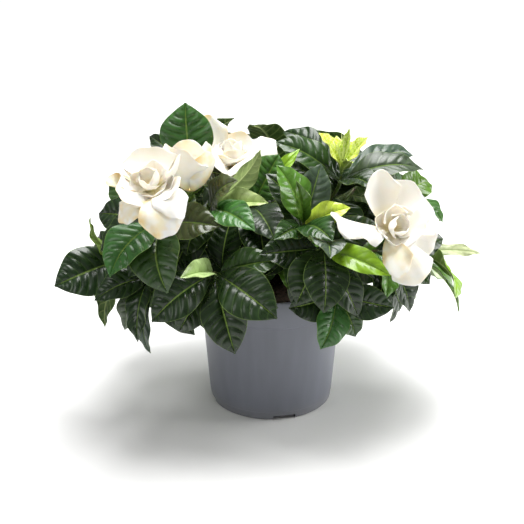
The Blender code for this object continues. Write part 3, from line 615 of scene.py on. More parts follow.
def branch_start(trunk, rise, towards, turn):
    """Where a branch leaves its woody stem: just outside the bark, at that share of the stem's height."""
    path = trunk_path(trunk)
    point, above, below = (trunk_point(path[1], path[-1], rise + step) for step in (0, 0.05, -0.05))
    along = above - below
    way = Matrix.Rotation(math.radians(turn), 3, "Z") @ (towards - point)
    way -= way.project(along)
    return point + way.normalized() * (TRUNK_RADII[0] + SHOOT_RADII[0] + GAP)


def stem_path(owner, part, end, axis, steps=4):
    """A stem to end, which it reaches along axis, started and bowed so that it's clear of what is placed."""
    starts = [(turn, change) for turn in BRANCH_TURNS for change in BRANCH_RISE_CHANGES]
    for turn, rise_change in starts:
        start = branch_start(part.trunk, min(max(part.rise + rise_change, 0.05), 1.0), end, turn)
        reach = (end - start).length
        for bow in range(BOWS_TRIED):
            angle = bow * GOLDEN_ANGLE
            shift = Vector((math.cos(angle), math.sin(angle), 0.2)) * 0.0015 * bow
            bend = end - axis * reach * 0.45 + shift
            path = [bezier(start, bend, end - axis * 0.004, i / steps) for i in range(steps + 1)] + [end]
            tree, points = tube_tree(path, SHOOT_RADII[0] + CLEARANCE)
            box = corners_of(points)
            if not hits((tree, None), owner, box):
                placed.append((owner, (tree, None), box))
                return path
    return path


paths = {}
for flower in FLOWERS:
    axis = axis_of(flower)
    end = Vector(flower.centre) - axis * (SEAT_DROP["outer"] + SEAT_HEIGHT / 2 + GAP)
    paths[flower.name] = stem_path(f"flower_{flower.name}_stalk", flower, end, axis, 8)
for shoot in SHOOTS:
    axis = axis_of(shoot)
    end = Vector(shoot.hub) + axis * BUD_LENGTH
    paths[shoot.name] = stem_path("shoot_" + shoot.name, shoot, end, axis)

# Green stem: waxy skin over young wood, mid green with brown blotches and a fine grain.
green_stem, tree, place_on_stem = new_material("green_shoot_skin", Roughness=0.42, IOR=1.45)
stem_streaks = add(tree, "TexNoise", {"Scale": 160.0, "Detail": 3.0}, {"Vector": place_on_stem})
stem_shade = add(tree, "ValToRGB", links={"Fac": stem_streaks}, ramp=((0.35, "#54482c"), (0.60, "#5f7a34")))
stem_grain = add(tree, "TexNoise", {"Scale": 1500.0, "Detail": 2.0}, {"Vector": place_on_stem})
stem_bump = add(tree, "Bump", {"Strength": 0.3, "Distance": 0.0002}, {"Height": stem_grain})
wire(tree, Base_Color=stem_shade, Normal=stem_bump)


def shoot_radius(distance, length):
    """Tapers from the bark to the bud, with a swelling at each pair of leaves and on down the stem."""
    taper_share = distance / length
    below_bud = length - distance - BUD_LENGTH
    pitch = NODE_SPACING if below_bud < 3 * NODE_SPACING else STEM_NODE_PITCH
    swelling = NODE_SWELLING * math.exp(-(((below_bud / pitch + 0.5) % 1 - 0.5) * pitch / 0.0009) ** 2)
    bud = max(0.0, 1 - (length - distance) / BUD_LENGTH)
    return (SHOOT_RADII[0] + (SHOOT_RADII[1] - SHOOT_RADII[0]) * taper_share) * (1 - 0.75 * bud) + swelling


shoot_stems = {}
for shoot in SHOOTS:
    shoot_stems[shoot.name] = stem("shoot_stem_" + shoot.name, paths[shoot.name], shoot_radius, green_stem)


# ---- The flowers -------------------------------------------------------------------------------------------
# Double flowers, each with up to three whorls of thick, velvety petals on a short tube. A petal is narrow at
# its claw and broad and round at its end, with a waved edge that rolls back, and it yellows with age.

Blade = namedtuple("Blade", "base tip face width arch fold cup outline")
BLADE_CELLS = (4, 2)
POT_MARGIN = 0.003
# A whorl's petals by rule: length, width, lean from the flower's axis, and turn of the first one round it.
INNER_PETAL = (0.030, 0.026, math.radians(48), 0.4)
HEART_PETAL = (0.022, 0.018, math.radians(20), 0.9)
# How far out on the tube a petal's claw stands, as a share of the tube's radius.
RING_CLAW_SHARE = 0.7
OUTER_CLAW_SHARE = 0.88
DRAWN_CLAW_SHARE = 0.8
PETAL_COLUMNS = 16
PETAL_ROWS = 22
PETAL_SHEET = 0.0005
PETAL_WAVE = 0.0012
PETAL_ROUND_END = 0.26
TUBE_SIDES = 18


def petal_outline(t):
    """Half-width along a petal's clear space: a narrow claw that widens to a broad end."""
    return 0.14 + 1.35 * t**0.9 - 1.05 * t**4


def blade_frame(blade):
    """A blade's length, and two ways square to it: the way its upper side looks and the way across."""
    along = blade.tip - blade.base
    length = along.length
    forward = along / length
    face = (blade.face - blade.face.dot(forward) * forward).normalized()
    return length, face, forward.cross(face)


def blade_point(blade, s, t):
    """The point of a blade at s, from -1 to 1 across it, and t, from 0 at its base to 1 at its tip."""
    length, face, side = blade_frame(blade)
    middle = (blade.base + blade.tip) / 2 + face * blade.arch * length * 2
    centre = (1 - t) ** 2 * blade.base + 2 * t * (1 - t) * middle + t * t * blade.tip
    tangent = ((1 - t) * (middle - blade.base) + t * (blade.tip - middle)).normalized()
    normal = side.cross(tangent)
    half = blade.width / 2 * blade.outline(t)
    lift = half * (blade.fold * abs(s) + blade.cup * s * s)
    return centre + side * half * s + normal * lift


def slab_trees(blade):
    """A slab round the blade, with CLEARANCE to each side, as a BVH tree; a second tree of all but the slab's
    first quarter; and the slab's points."""
    rows, columns = BLADE_CELLS[0] + 1, BLADE_CELLS[1] + 1
    count = rows * columns
    up = blade.face.normalized() * CLEARANCE
    grid = [(i / (rows - 1), 2 * j / (columns - 1) - 1) for i in range(rows) for j in range(columns)]
    middle = [blade_point(blade, s, t) for t, s in grid]
    points = [p + up for p in middle] + [p - up for p in middle]
    near, far = [], []
    for i in range(rows - 1):
        row = [i * columns + j for j in range(columns)]
        ahead = [k + columns for k in row]
        faces = [(row[j], row[j + 1], ahead[j + 1], ahead[j]) for j in range(columns - 1)]
        faces += [tuple(k + count for k in face) for face in faces]
        for edge in (0, columns - 1):
            faces.append((row[edge], ahead[edge], ahead[edge] + count, row[edge] + count))
        (far if i else near).extend(faces)
    for end, faces in ((0, near), (count - columns, far)):
        faces += [(end + j, end + j + 1, end + j + 1 + count, end + j + count) for j in range(columns - 1)]
    return BVHTree.FromPolygons(points, near + far), BVHTree.FromPolygons(points, far), points


def nudges():
    """Small turns of a blade about its base, in degrees of lift and swing, and how much shorter it gets."""
    yield 0, 0, 1.0
    for shorter in (1.0, 0.92, 0.84):
        for reach in range(4, 37, 4):
            for turn in range(8):
                angle = turn * math.pi / 4
                yield reach * math.cos(angle), reach * math.sin(angle), shorter


def clear_of_pot(points):
    """Whether no point is in the pot's wall or in the potting mix."""
    return not any(
        p.z < POT_HEIGHT + POT_MARGIN and math.hypot(p.x, p.y) < POT_RIM_RADIUS + POT_MARGIN for p in points
    )


def place(blade, owner):
    """The blade turned as little as it takes to be clear of everything placed so far, or None."""
    along = blade.tip - blade.base
    face = (blade.face - blade.face.project(along)).normalized()
    side = along.cross(face).normalized()
    for lift, swing, shorter in nudges():
        turn = Matrix.Rotation(math.radians(lift), 3, side) @ Matrix.Rotation(math.radians(swing), 3, face)
        trial = blade._replace(tip=blade.base + turn @ along * shorter, face=turn @ face)
        whole, outer, points = slab_trees(trial)
        box = corners_of(points)
        if not hits((whole, outer), owner, box) and clear_of_pot(points):
            placed.append((owner, (whole, outer), box))
            return trial
    return None


def ring_petals(centre, axis, radius, count, size):
    """Petals standing round the axis at an even spacing, cupped towards it."""
    length, width, lean, turn = size
    around = axis.orthogonal().normalized()
    blades = []
    for index in range(count):
        out = Matrix.Rotation(turn + index * math.tau / count, 3, axis) @ around
        way = out * math.sin(lean) + axis * math.cos(lean)
        base = centre + out * radius * RING_CLAW_SHARE
        face = axis * math.sin(lean) - out * math.cos(lean)
        blades.append(Blade(base, centre + way * length, face, width, -0.16, 0.0, 0.5, petal_outline))
    return blades


def flower_blades(flower):
    """The blades of each whorl of a flower, from its outer petals to its heart."""
    axis = axis_of(flower)
    outer_seat, inner_seat, heart_seat = (Vector(flower.centre) - axis * drop for drop in SEAT_DROP.values())
    outer = []
    for tip, width, arch, cup in flower.outer:
        tip = Vector(tip)
        out = (tip - outer_seat) - (tip - outer_seat).dot(axis) * axis
        base = outer_seat + out.normalized() * SEAT_RADII["outer"] * OUTER_CLAW_SHARE
        outer.append(Blade(base, tip, axis, width, -arch * 0.5, 0.0, cup, petal_outline))
    inner = ring_petals(inner_seat, axis, SEAT_RADII["inner"], flower.inner, INNER_PETAL)
    heart = ring_petals(heart_seat, axis, SEAT_RADII["heart"], flower.heart, HEART_PETAL)
    whorls = {"outer": outer, "inner": inner, "heart": heart}
    return {kind: blades for kind, blades in whorls.items() if blades}


for flower in FLOWERS:
    axis = axis_of(flower)
    for kind in flower_blades(flower):
        middle = Vector(flower.centre) - axis * SEAT_DROP[kind]
        ends = [middle - axis * SEAT_HEIGHT / 2, middle + axis * SEAT_HEIGHT / 2]
        tree_of_seat, points = tube_tree(ends, SEAT_RADII[kind] + GAP)
        placed.append((f"flower_{flower.name}_{kind}_petals", (tree_of_seat, None), corners_of(points)))


def flat_sheet(name, columns, rows, across, coordinate):
    """A grid laid out as a blade to be bent: across gives the place of each of its lines between the edges.
    It returns the object with, for each point, its place across (-1 to 1) and along (0 to 1)."""
    bpy.ops.mesh.primitive_grid_add(x_subdivisions=columns, y_subdivisions=rows, size=2)
    sheet = bpy.context.active_object
    sheet.name = name
    where = np.empty(len(sheet.data.vertices) * 3, np.float32)
    sheet.data.vertices.foreach_get("co", where)
    where = where.reshape(-1, 3).astype(float)
    s, u = across(where[:, 0]), (where[:, 1] + 1) / 2
    layer = sheet.data.uv_layers[0]
    layer.name = coordinate
    corner = np.empty(len(sheet.data.loops), np.int32)
    sheet.data.loops.foreach_get("vertex_index", corner)
    layer.data.foreach_set("uv", np.column_stack([(s + 1) / 2, u])[corner].astype(np.float32).ravel())
    sheet.data.attributes.new("tint", "FLOAT_COLOR", "POINT")
    return sheet, s, u


def unit_rows(rows):
    return rows / np.linalg.norm(rows, axis=1, keepdims=True)


def bend(sheet, blade, s, t, half, lift, twist, bow, tint):
    """A copy of a flat sheet, bent along a blade. half and lift are half its width and its rise, by point."""
    length, face, side = blade_frame(blade)
    middle = (blade.base + blade.tip) / 2 + face * blade.arch * length * 2 + side * bow * length
    base, middle, tip = (np.array(p) for p in (blade.base, middle, blade.tip))
    t = t[:, None]
    centre = (1 - t) ** 2 * base + 2 * t * (1 - t) * middle + t * t * tip
    tangent = unit_rows((1 - t) * (middle - base) + t * (tip - middle))
    sideways = np.tile(np.array(side), (len(t), 1))
    normal = unit_rows(np.cross(sideways, tangent))
    turn = twist * (t - 0.35)
    across = sideways * np.cos(turn) + normal * np.sin(turn)
    up = normal * np.cos(turn) - sideways * np.sin(turn)
    where = centre + across * (half * s)[:, None] + up * lift[:, None]
    made = sheet.copy()
    made.data = sheet.data.copy()
    bpy.context.scene.collection.objects.link(made)
    made.data.vertices.foreach_set("co", where.astype(np.float32).ravel())
    made.data.attributes["tint"].data.foreach_set("color", np.tile(np.array(tint, np.float32), len(t)))
    made.data.update()
    return made


def thicken(obj, thickness, back=0):
    """Gives joined sheets their thickness, below their upper side. back is the material slot of that side."""
    work_on(obj)
    solid = obj.modifiers.new("thickness", "SOLIDIFY")
    solid.thickness = thickness
    solid.offset = -1.0
    solid.material_offset = back
    bpy.ops.object.modifier_apply(modifier=solid.name)


petal_sheet, petal_s, petal_u = flat_sheet(
    "petal_sheet", PETAL_COLUMNS, PETAL_ROWS, lambda x: np.sign(x) * np.abs(x) ** 0.9, "petal_lines"
)


def petal_object(blade, rng, age, roll):
    """A petal with a waved edge, whose end rolls back. age, from 0 to 1, is how far it has yellowed."""
    s, u = petal_s, petal_u
    length = (blade.tip - blade.base).length
    phase = [rng.uniform(0, math.tau) for _ in range(5)]
    notch = 0.025 * np.sin(3.0 * s + phase[0]) + 0.014 * np.sin(7.0 * s + phase[1])
    t = u * (1 - PETAL_ROUND_END * np.abs(s) ** 2.4 * u**3 + notch * u**4)
    half = blade.width / 2 * (0.15 + 1.20 * u**0.85 - 0.40 * u**5) * (1 + 0.05 * np.sin(5 * u + phase[2]))
    lift = half * (blade.fold * np.abs(s) + blade.cup * s * s)
    edge = np.abs(s) ** 3
    lift -= roll * length * (0.55 * edge * u**2 + 0.45 * u**7)
    lift += PETAL_WAVE * np.sin(9 * u + 2.5 * s + phase[3]) * edge * u
    lift += 0.5 * PETAL_WAVE * np.sin(7.5 * s + phase[4]) * u**2 * (1 - 0.3 * s * s)
    twist, bow = rng.uniform(-0.25, 0.25), rng.uniform(-0.03, 0.03)
    return bend(petal_sheet, blade, s, t, half, lift, twist, bow, (age, rng.random(), 0, 1))


def off_middle(tree, layer):
    """A UV layer's output, its split axes, and how far a point lies from the blade's middle line."""
    uv = add(tree, "UVMap", uv_map=layer)
    axes = add(tree, "SeparateXYZ", links={"Vector": uv})
    off = add(tree, "Math", {1: 0.5}, {0: axes.outputs["X"]}, operation="SUBTRACT")
    return uv, axes, add(tree, "Math", links={0: off}, operation="ABSOLUTE")


# Gardenia petal: thick and velvety, white at first and cream to butter yellow at its claw and edges as it
# ages. Light goes a little way in, so its shadows are warm and soft; fine lines run along it.
velvet, tree, place_on_petal = new_material(
    "velvety_petal", Roughness=0.55, IOR=1.40, Subsurface_Weight=0.3, Subsurface_Radius=(1.0, 0.75, 0.5),
    Subsurface_Scale=0.0015, Sheen_Weight=0.15,
)
petal_uv, petal_axes, from_middle = off_middle(tree, "petal_lines")
petal_tint = add(tree, "SeparateColor", links={0: add(tree, "Attribute", attribute_name="tint")})
petal_age = petal_tint.outputs["Red"]
along_petal = petal_axes.outputs["Y"]
clouds = add(tree, "TexNoise", {"Scale": 75.0, "Detail": 2.0}, {"Vector": place_on_petal})
edge_share = add(tree, "MapRange", {"From Min": 0.30, "From Max": 0.50}, {"Value": from_middle})
tip_share = add(tree, "MapRange", {"From Min": 0.80, "From Max": 1.0}, {"Value": along_petal})
claw_share = add(tree, "MapRange", {"From Min": 0.38, "From Max": 0.0}, {"Value": along_petal})
rim_share = add(tree, "Math", links={0: edge_share, 1: tip_share}, operation="MAXIMUM")
blotch = add(tree, "MapRange", {"From Min": 0.42, "From Max": 0.72}, {"Value": clouds})
rim_blotch = add(tree, "Math", links={0: rim_share, 1: blotch}, operation="MULTIPLY")
yellowed = add(tree, "Math", links={0: rim_blotch, 1: petal_age}, operation="MULTIPLY")
creamed = add(tree, "Math", links={0: blotch, 1: petal_age}, operation="MULTIPLY")
fresh_and_cream = {"Color1": linear("#fdf9f0"), "Color2": linear("#f7e3b4")}
petal_colour = add(tree, "MixRGB", fresh_and_cream, {"Fac": creamed})
for share, colour in ((claw_share, "#f2e6b2"), (yellowed, "#f0c878")):
    petal_colour = add(tree, "MixRGB", {"Color2": linear(colour)}, {"Fac": share, "Color1": petal_colour})
petal_stretch = add(tree, "Mapping", {"Scale": (45.0, 2.5, 1.0)}, {"Vector": petal_uv})
petal_lines = add(tree, "TexNoise", {"Scale": 1.0, "Detail": 2.0}, {"Vector": petal_stretch})
petal_bump = add(tree, "Bump", {"Strength": 0.25, "Distance": 0.0003}, {"Height": petal_lines})
petal_satin = add(tree, "MapRange", {"To Min": 0.45, "To Max": 0.65}, {"Value": petal_lines})
wire(tree, Base_Color=petal_colour, Normal=petal_bump, Roughness=petal_satin)


def flower_tube(centre, axis, radius):
    """The short flared tube that a whorl of petals grows from, round an axis."""
    shares = [(0.55, -0.6), (0.70, -0.2), (0.90, 0.25), (1.0, 0.5), (0.86, 0.56), (0.45, 0.42)]
    rings = [(radius * share, SEAT_HEIGHT * level) for share, level in shares]
    made = turned("flower_tube", rings, TUBE_SIDES)
    made.data.transform(Matrix.Translation(centre) @ axis.to_track_quat("Z", "Y").to_matrix().to_4x4())
    made.data.attributes.new("tint", "FLOAT_COLOR", "POINT")
    made.data.uv_layers.new(name="petal_lines")
    made.data.materials.append(velvet)
    return made


petal_sheet.data.materials.append(velvet)

# The petals of each flower's outer whorl: (tip, width, the way its inner side looks, bulge along it, cup
# across it, how far its end rolls back, how far it has yellowed).
Petal = namedtuple("Petal", "tip width face arch cup roll age")
OUTER_PETALS = {
    "left": [
        Petal((-0.1010, -0.050, 0.2510), 0.044, (0.00, -0.80, 0.60), -0.14, 0.40, 0.05, 0.1),
        Petal((-0.1256, -0.060, 0.2470), 0.038, (0.75, -0.35, 0.50), -0.14, 0.45, 0.07, 0.3),
        Petal((-0.0750, -0.070, 0.2500), 0.038, (-0.80, 0.05, 0.55), -0.15, 0.45, 0.05, 0.1),
        Petal((-0.0770, -0.099, 0.2310), 0.030, (-0.30, -0.45, 0.85), -0.04, 0.30, 0.08, 0.2),
        Petal((-0.1200, -0.100, 0.2290), 0.030, (0.20, -0.45, 0.85), -0.02, 0.25, 0.08, 0.4),
        Petal((-0.1320, -0.084, 0.2330), 0.020, (0.10, -0.35, 0.90), -0.05, 0.70, 0.05, 1.0),
        Petal((-0.1180, -0.102, 0.2030), 0.023, (-0.30, -0.80, 0.55), 0.34, -0.15, 0.02, 1.0),
        Petal((-0.0850, -0.114, 0.1940), 0.038, (0.10, -0.75, 0.65), 0.34, -0.12, 0.05, 0.9),
        Petal((-0.0730, -0.108, 0.2110), 0.032, (0.20, -0.70, 0.65), 0.30, -0.12, 0.05, 0.3),
    ],
    "half_open": [
        Petal((-0.0760, -0.056, 0.2500), 0.040, (0.40, 0.85, 0.20), -0.20, 0.75, 0.03, 0.2),
        Petal((-0.0555, -0.050, 0.2440), 0.042, (-0.70, 0.65, 0.15), -0.22, 0.70, 0.03, 1.0),
        Petal((-0.0712, -0.022, 0.2470), 0.038, (0.05, -0.90, 0.35), -0.18, 0.60, 0.03, 0.3),
        Petal((-0.0556, -0.026, 0.2450), 0.020, (-0.60, -0.60, 0.40), -0.10, 0.60, 0.22, 0.7),
        Petal((-0.0880, -0.038, 0.2470), 0.028, (0.85, -0.10, 0.35), -0.16, 0.70, 0.05, 0.2),
    ],
    "back": [
        Petal((-0.0470, -0.004, 0.2060), 0.022, (-0.20, -0.60, 0.75), 0.20, -0.25, 0.05, 0.2),
        Petal((0.0060, 0.012, 0.2290), 0.036, (0.10, -0.55, 0.80), 0.12, -0.15, 0.06, 0.3),
        Petal((-0.0586, 0.036, 0.2494), 0.030, (0.35, -0.85, 0.30), -0.06, 0.35, 0.06, 0.9),
        Petal((-0.0260, 0.040, 0.2340), 0.034, (0.05, -0.90, 0.40), -0.10, 0.35, 0.08, 0.4),
        Petal((-0.0500, 0.000, 0.2240), 0.034, (0.10, -0.60, 0.75), 0.08, 0.10, 0.06, 0.4),
        Petal((-0.0086, 0.054, 0.2250), 0.036, (0.00, 0.30, 0.90), 0.08, 0.10, 0.08, 0.3),
        Petal((-0.0382, 0.050, 0.2300), 0.036, (0.05, -0.70, 0.60), -0.06, 0.30, 0.08, 0.4),
        Petal((-0.0200, -0.008, 0.2220), 0.034, (0.00, -0.50, 0.85), 0.12, -0.15, 0.06, 0.2),
    ],
    "right": [
        Petal((0.0877, -0.050, 0.2290), 0.034, (0.35, -0.90, 0.20), -0.10, 0.50, 0.04, 0.1),
        Petal((0.0500, -0.088, 0.2050), 0.026, (0.05, -0.55, 0.85), -0.10, -0.15, 0.05, 0.1),
        Petal((0.0730, -0.090, 0.1880), 0.022, (0.10, -0.70, 0.70), 0.10, -0.20, 0.05, 0.2),
        Petal((0.1120, -0.040, 0.2180), 0.040, (-0.05, -0.85, 0.50), -0.10, 0.30, 0.06, 0.0),
        Petal((0.1340, -0.046, 0.1960), 0.042, (-0.25, -0.80, 0.50), -0.08, 0.25, 0.08, 0.0),
        Petal((0.1360, -0.058, 0.1660), 0.040, (-0.15, -0.80, 0.60), 0.06, 0.10, 0.08, 0.1),
        Petal((0.1230, -0.084, 0.1440), 0.038, (0.25, -0.80, 0.50), 0.12, -0.10, 0.06, 0.3),
        Petal((0.1070, -0.094, 0.1560), 0.028, (-0.35, -0.80, 0.45), 0.12, -0.15, 0.05, 0.7),
        Petal((0.1220, -0.086, 0.1960), 0.034, (-0.35, -0.60, 0.75), -0.12, 0.40, 0.08, 0.0),
    ],
}
# Petals nearer the heart are shorter than their clear space, broader for their length, and cupped.
INNER_SHARES = {"inner": 0.74, "heart": 0.85}
INNER_BREADTH = 1.25
INNER_BEND = {"arch": -0.20, "cup": 0.75}
INNER_ROLL = 0.05
petal_rng = random.Random(5)
for flower in FLOWERS:
    axis = axis_of(flower)
    for kind, blades in flower_blades(flower).items():
        owner = f"flower_{flower.name}_{kind}_petals"
        kept = [b for b in (place(blade, owner) for blade in blades) if b]
        centre = Vector(flower.centre) - axis * SEAT_DROP[kind]
        petals = []
        if kind == "outer":
            for shape in OUTER_PETALS[flower.name]:
                tip = Vector(shape.tip)
                out = (tip - centre) - (tip - centre).dot(axis) * axis
                base = centre + out.normalized() * SEAT_RADII["outer"] * DRAWN_CLAW_SHARE
                blade = Blade(base, tip, Vector(shape.face), shape.width, shape.arch, 0, shape.cup, None)
                petals.append(petal_object(blade, petal_rng, shape.age, shape.roll))
        else:
            for blade in kept:
                share = INNER_SHARES[kind]
                tip = blade.base.lerp(blade.tip, share)
                blade = blade._replace(tip=tip, width=blade.width * INNER_BREADTH * share, **INNER_BEND)
                petals.append(petal_object(blade, petal_rng, petal_rng.uniform(0.0, 0.3), INNER_ROLL))
        work_on(*petals)
        bpy.ops.object.join()
        whorl = bpy.context.active_object
        thicken(whorl, PETAL_SHEET)
        work_on(whorl, flower_tube(centre, axis, SEAT_RADII[kind]))
        bpy.ops.object.join()
        whorl.name = f"flower_{flower.name}_{kind}_whorl"
        smooth(whorl, 60)
        finish_piece(whorl, "petal_cream", owner)
bpy.data.objects.remove(petal_sheet)


# ---- The flower stalks -------------------------------------------------------------------------------------
# A short green stalk that ends in the ribbed calyx, which holds the flower's tube. Six long narrow sepals
# stand up from the calyx's rim, close under the petals.

CALYX_LENGTH = 0.011
CALYX_RIBS = 6
RIB_HEIGHT_SHARE = 0.22
SEPAL_LENGTH = 0.013

# Calyx skin: waxy and fresh green, mottled lighter and darker.
calyx_skin, tree, place_on_calyx = new_material("waxy_calyx_skin", Roughness=0.40, IOR=1.45)
calyx_noise = add(tree, "TexNoise", {"Scale": 260.0, "Detail": 3.0}, {"Vector": place_on_calyx})
calyx_shade = add(tree, "ValToRGB", links={"Fac": calyx_noise}, ramp=((0.35, "#4c7029"), (0.68, "#8eaa4a")))
calyx_bump = add(tree, "Bump", {"Strength": 0.3, "Distance": 0.0002}, {"Height": calyx_noise})
wire(tree, Base_Color=calyx_shade, Normal=calyx_bump)


def stalk_radius(distance, length):
    """A thin stalk that swells into the calyx near its end."""
    bulge = max(0.0, 1 - abs((length - distance) - CALYX_LENGTH * 0.45) / (CALYX_LENGTH * 0.55))
    return 0.00125 + 0.0022 * math.sin(bulge * math.pi / 2) ** 1.5


def sepal_radius(distance, length):
    return 0.00075 * (1 - distance / length) ** 0.6 + 0.0001


for flower in FLOWERS:
    axis = axis_of(flower)
    path = paths[flower.name]
    stalk = stem("flower_stalk_" + flower.name, path, stalk_radius, calyx_skin, sides=24, spacing=0.001)
    top = path[-1]
    around = axis.orthogonal().normalized()
    aside = axis.cross(around)
    for vertex in stalk.data.vertices:
        below = (top - vertex.co).dot(axis)
        out = vertex.co - (top - axis * below)
        if 0 < below < CALYX_LENGTH and out.length < 0.006:
            angle = math.atan2(out.dot(aside), out.dot(around))
            rib = RIB_HEIGHT_SHARE * math.cos(CALYX_RIBS * angle)
            vertex.co += out * rib * math.sin(math.pi * below / CALYX_LENGTH)
    sepals = []
    for index in range(CALYX_RIBS):
        angle = index * math.tau / CALYX_RIBS
        out = around * math.cos(angle) + aside * math.sin(angle)
        foot = top - axis * 0.0022 + out * 0.0026
        tip = foot + axis * SEPAL_LENGTH * 0.62 + out * SEPAL_LENGTH * 0.55
        bowed = foot.lerp(tip, 0.5) + out * 0.0012
        sepals.append(stem("sepal", [foot, bowed, tip], sepal_radius, calyx_skin, 8))
    work_on(stalk, *sepals)
    bpy.ops.object.join()
    finish_piece(stalk, "calyx_green", f"flower_{flower.name}_stalk")


# ---- The leaves --------------------------------------------------------------------------------------------
# Gardenia leaves: leathery, egg-shaped and pointed, glossy dark green above and paler and matt below. The
# blade is quilted between veins sunk into it, which run forward in pairs from the midrib, and its edge waves.

LEAF_THICKNESS = 0.00042
LEAF_COLUMNS = 14
VEIN_PAIRS = 8
ROWS_PER_VEIN = 6
LEAF_STALK_ROWS = 4
QUILT_HEIGHT = 0.0011
MIDRIB_DEPTH = 0.0007
LEAF_WAVE = 0.0018
LEAF_STALK_SHARE = 0.08
WHORL_LEAF = (0.072, 0.037)
LOWER_LEAVES = 5
LOWER_LEAF = (0.060, 0.031)
INNER_LEAVES = 11
INNER_LEAF = (0.064, 0.034)


def leaf_outline(t):
    """Half-width along a leaf as a share of its greatest: a short stalk, a broad middle, a point."""
    blade = max(t - LEAF_STALK_SHARE, 0.0) / (1 - LEAF_STALK_SHARE)
    return max(0.05, 3.3 * blade * (1.0 - blade) ** 0.75)


def leaf_blade(base, axis, leaf):
    """The blade of a leaf whose upper side looks along its shoot's axis, rolled about its own length."""
    tip = Vector(leaf.tip)
    face = Matrix.Rotation(math.radians(leaf.roll), 3, (tip - base).normalized()) @ axis
    return Blade(base, tip, face, leaf.width, leaf.arch, leaf.fold, -0.12, leaf_outline)


def down_stem(path, distance):
    """The point on a stem at that distance from its top end."""
    for upper, lower in zip(path[::-1], path[-2::-1]):
        step = (upper - lower).length
        if distance <= step:
            return upper.lerp(lower, distance / step)
        distance -= step
    return path[0].lerp(path[1], 0.1)


def rule_leaf(base, axis, index, lean, droop, length, width):
    """A leaf worked out by rule: turned on round the stem, leaning out from it and drooping."""
    out = Matrix.Rotation(index * GOLDEN_ANGLE, 3, axis) @ axis.orthogonal().normalized()
    lean = math.radians(lean)
    way = out * math.sin(lean) + axis * math.cos(lean)
    way.z -= droop
    return Leaf(tuple(base + way.normalized() * length), width)


def whorl_leaf(base, axis, index):
    """One leaf of a whorl by rule."""
    length, width = WHORL_LEAF
    share = 1.0 - 0.08 * (index % 4) / 3
    return rule_leaf(base, axis, index, 62 + 24 * (index % 3) / 2, 0.18, length * share, width)


def lower_leaf(base, axis, index):
    """A smaller leaf below a shoot's whorl, by rule."""
    length, width = LOWER_LEAF
    return rule_leaf(base, axis, index, 78 + 14 * (index % 3), 0.10, length - 0.004 * (index % 3), width)


leaf_rows = LEAF_STALK_ROWS + VEIN_PAIRS * ROWS_PER_VEIN
first_vein = LEAF_STALK_ROWS / leaf_rows
leaf_sheet, leaf_s, leaf_u = flat_sheet(
    "leaf_sheet", LEAF_COLUMNS, leaf_rows, lambda x: np.sign(x) * np.abs(x) ** 1.25, "veins"
)


def leaf_object(blade, rng, tint, quilt, curl=1.0):
    """A leaf bent along a blade, with its sunk veins and midrib, waved edge and slightly curled tip."""
    s, u = leaf_s, leaf_u
    far = np.abs(s)
    length = (blade.tip - blade.base).length
    t = u + (0.09 * far + 0.08 * far**2) * np.sin(math.pi * u) ** 1.1
    wide = np.clip(t - LEAF_STALK_SHARE, 0, None) / (1 - LEAF_STALK_SHARE)
    outline = 3.62 * wide**0.92 * np.clip(1 - wide, 0, None) ** 0.94 * (1 - 0.16 * wide**10)
    outline = np.maximum(0.05, outline)
    half = blade.width / 2 * outline
    vein = (u - first_vein) / (1 - first_vein) * VEIN_PAIRS
    swell = np.abs(np.sin(math.pi * np.clip(vein, 0, None))) ** 0.75
    from_rib = np.clip(far / 0.22, 0, 1) ** 0.8
    to_edge = 1 - far**5
    size = quilt * QUILT_HEIGHT * blade.width / 0.036 * np.clip(outline * 1.3, 0, 1)
    relief = size * swell * from_rib * to_edge
    relief -= quilt * MIDRIB_DEPTH * np.exp(-((far / 0.07) ** 2)) * (u < 0.98)
    phase = [rng.uniform(0, math.tau) for _ in range(3)]
    ripple = LEAF_WAVE * np.sin(2 * math.pi * 2.6 * u + phase[0] + 1.2 * np.sign(s))
    ripple *= far**3 * np.clip(outline, 0, 1)
    droop = curl * rng.uniform(0.02, 0.08) * length * t**5
    lift = half * (blade.fold * far + blade.cup * s * s) - droop + relief + ripple
    lift += 0.0008 * np.sin(5 * u + phase[1]) * u
    twist, bow = rng.uniform(-0.30, 0.30), rng.uniform(-0.045, 0.045)
    return bend(leaf_sheet, blade, s, t, half, lift, twist, bow, tint)


def leaf_lines(tree):
    """How far a point lies from its leaf's midrib and from the nearest side vein, as two outputs."""
    _, axes, off_rib = off_middle(tree, "veins")
    from_first = {"From Min": first_vein, "From Max": 1.0, "To Max": float(VEIN_PAIRS)}
    count = add(tree, "MapRange", from_first, {"Value": axes.outputs["Y"]})
    return off_rib, add(tree, "Math", {1: 0.5}, {0: count}, operation="PINGPONG")


# A mature leaf's upper face: a thick waxy cuticle over dark green, so the lights show on it as glossy bands
# between its veins. The midrib is pale yellow-green, the side veins only a little lighter than the blade.
wax, tree, place_on_leaf = new_material("waxy_leaf_face", IOR=1.41, Coat_Weight=0.14, Coat_Roughness=0.12)
leaf_tint = add(tree, "Attribute", attribute_name="tint")
mottle = add(tree, "TexNoise", {"Scale": 140.0, "Detail": 3.0}, {"Vector": place_on_leaf})
light_and_dark = {"From Min": 0.3, "From Max": 0.7, "To Min": 0.75, "To Max": 1.22}
mottle_range = add(tree, "MapRange", light_and_dark, {"Value": mottle})
blade_green = add(tree, "VectorMath", links={0: leaf_tint, 1: mottle_range}, operation="MULTIPLY")
off_rib, off_vein = leaf_lines(tree)
vein_line = add(tree, "MapRange", {"From Min": 0.09, "From Max": 0.02, "To Max": 0.22}, {"Value": off_vein})
rib_line = add(tree, "MapRange", {"From Min": 0.022, "From Max": 0.009, "To Max": 0.80}, {"Value": off_rib})
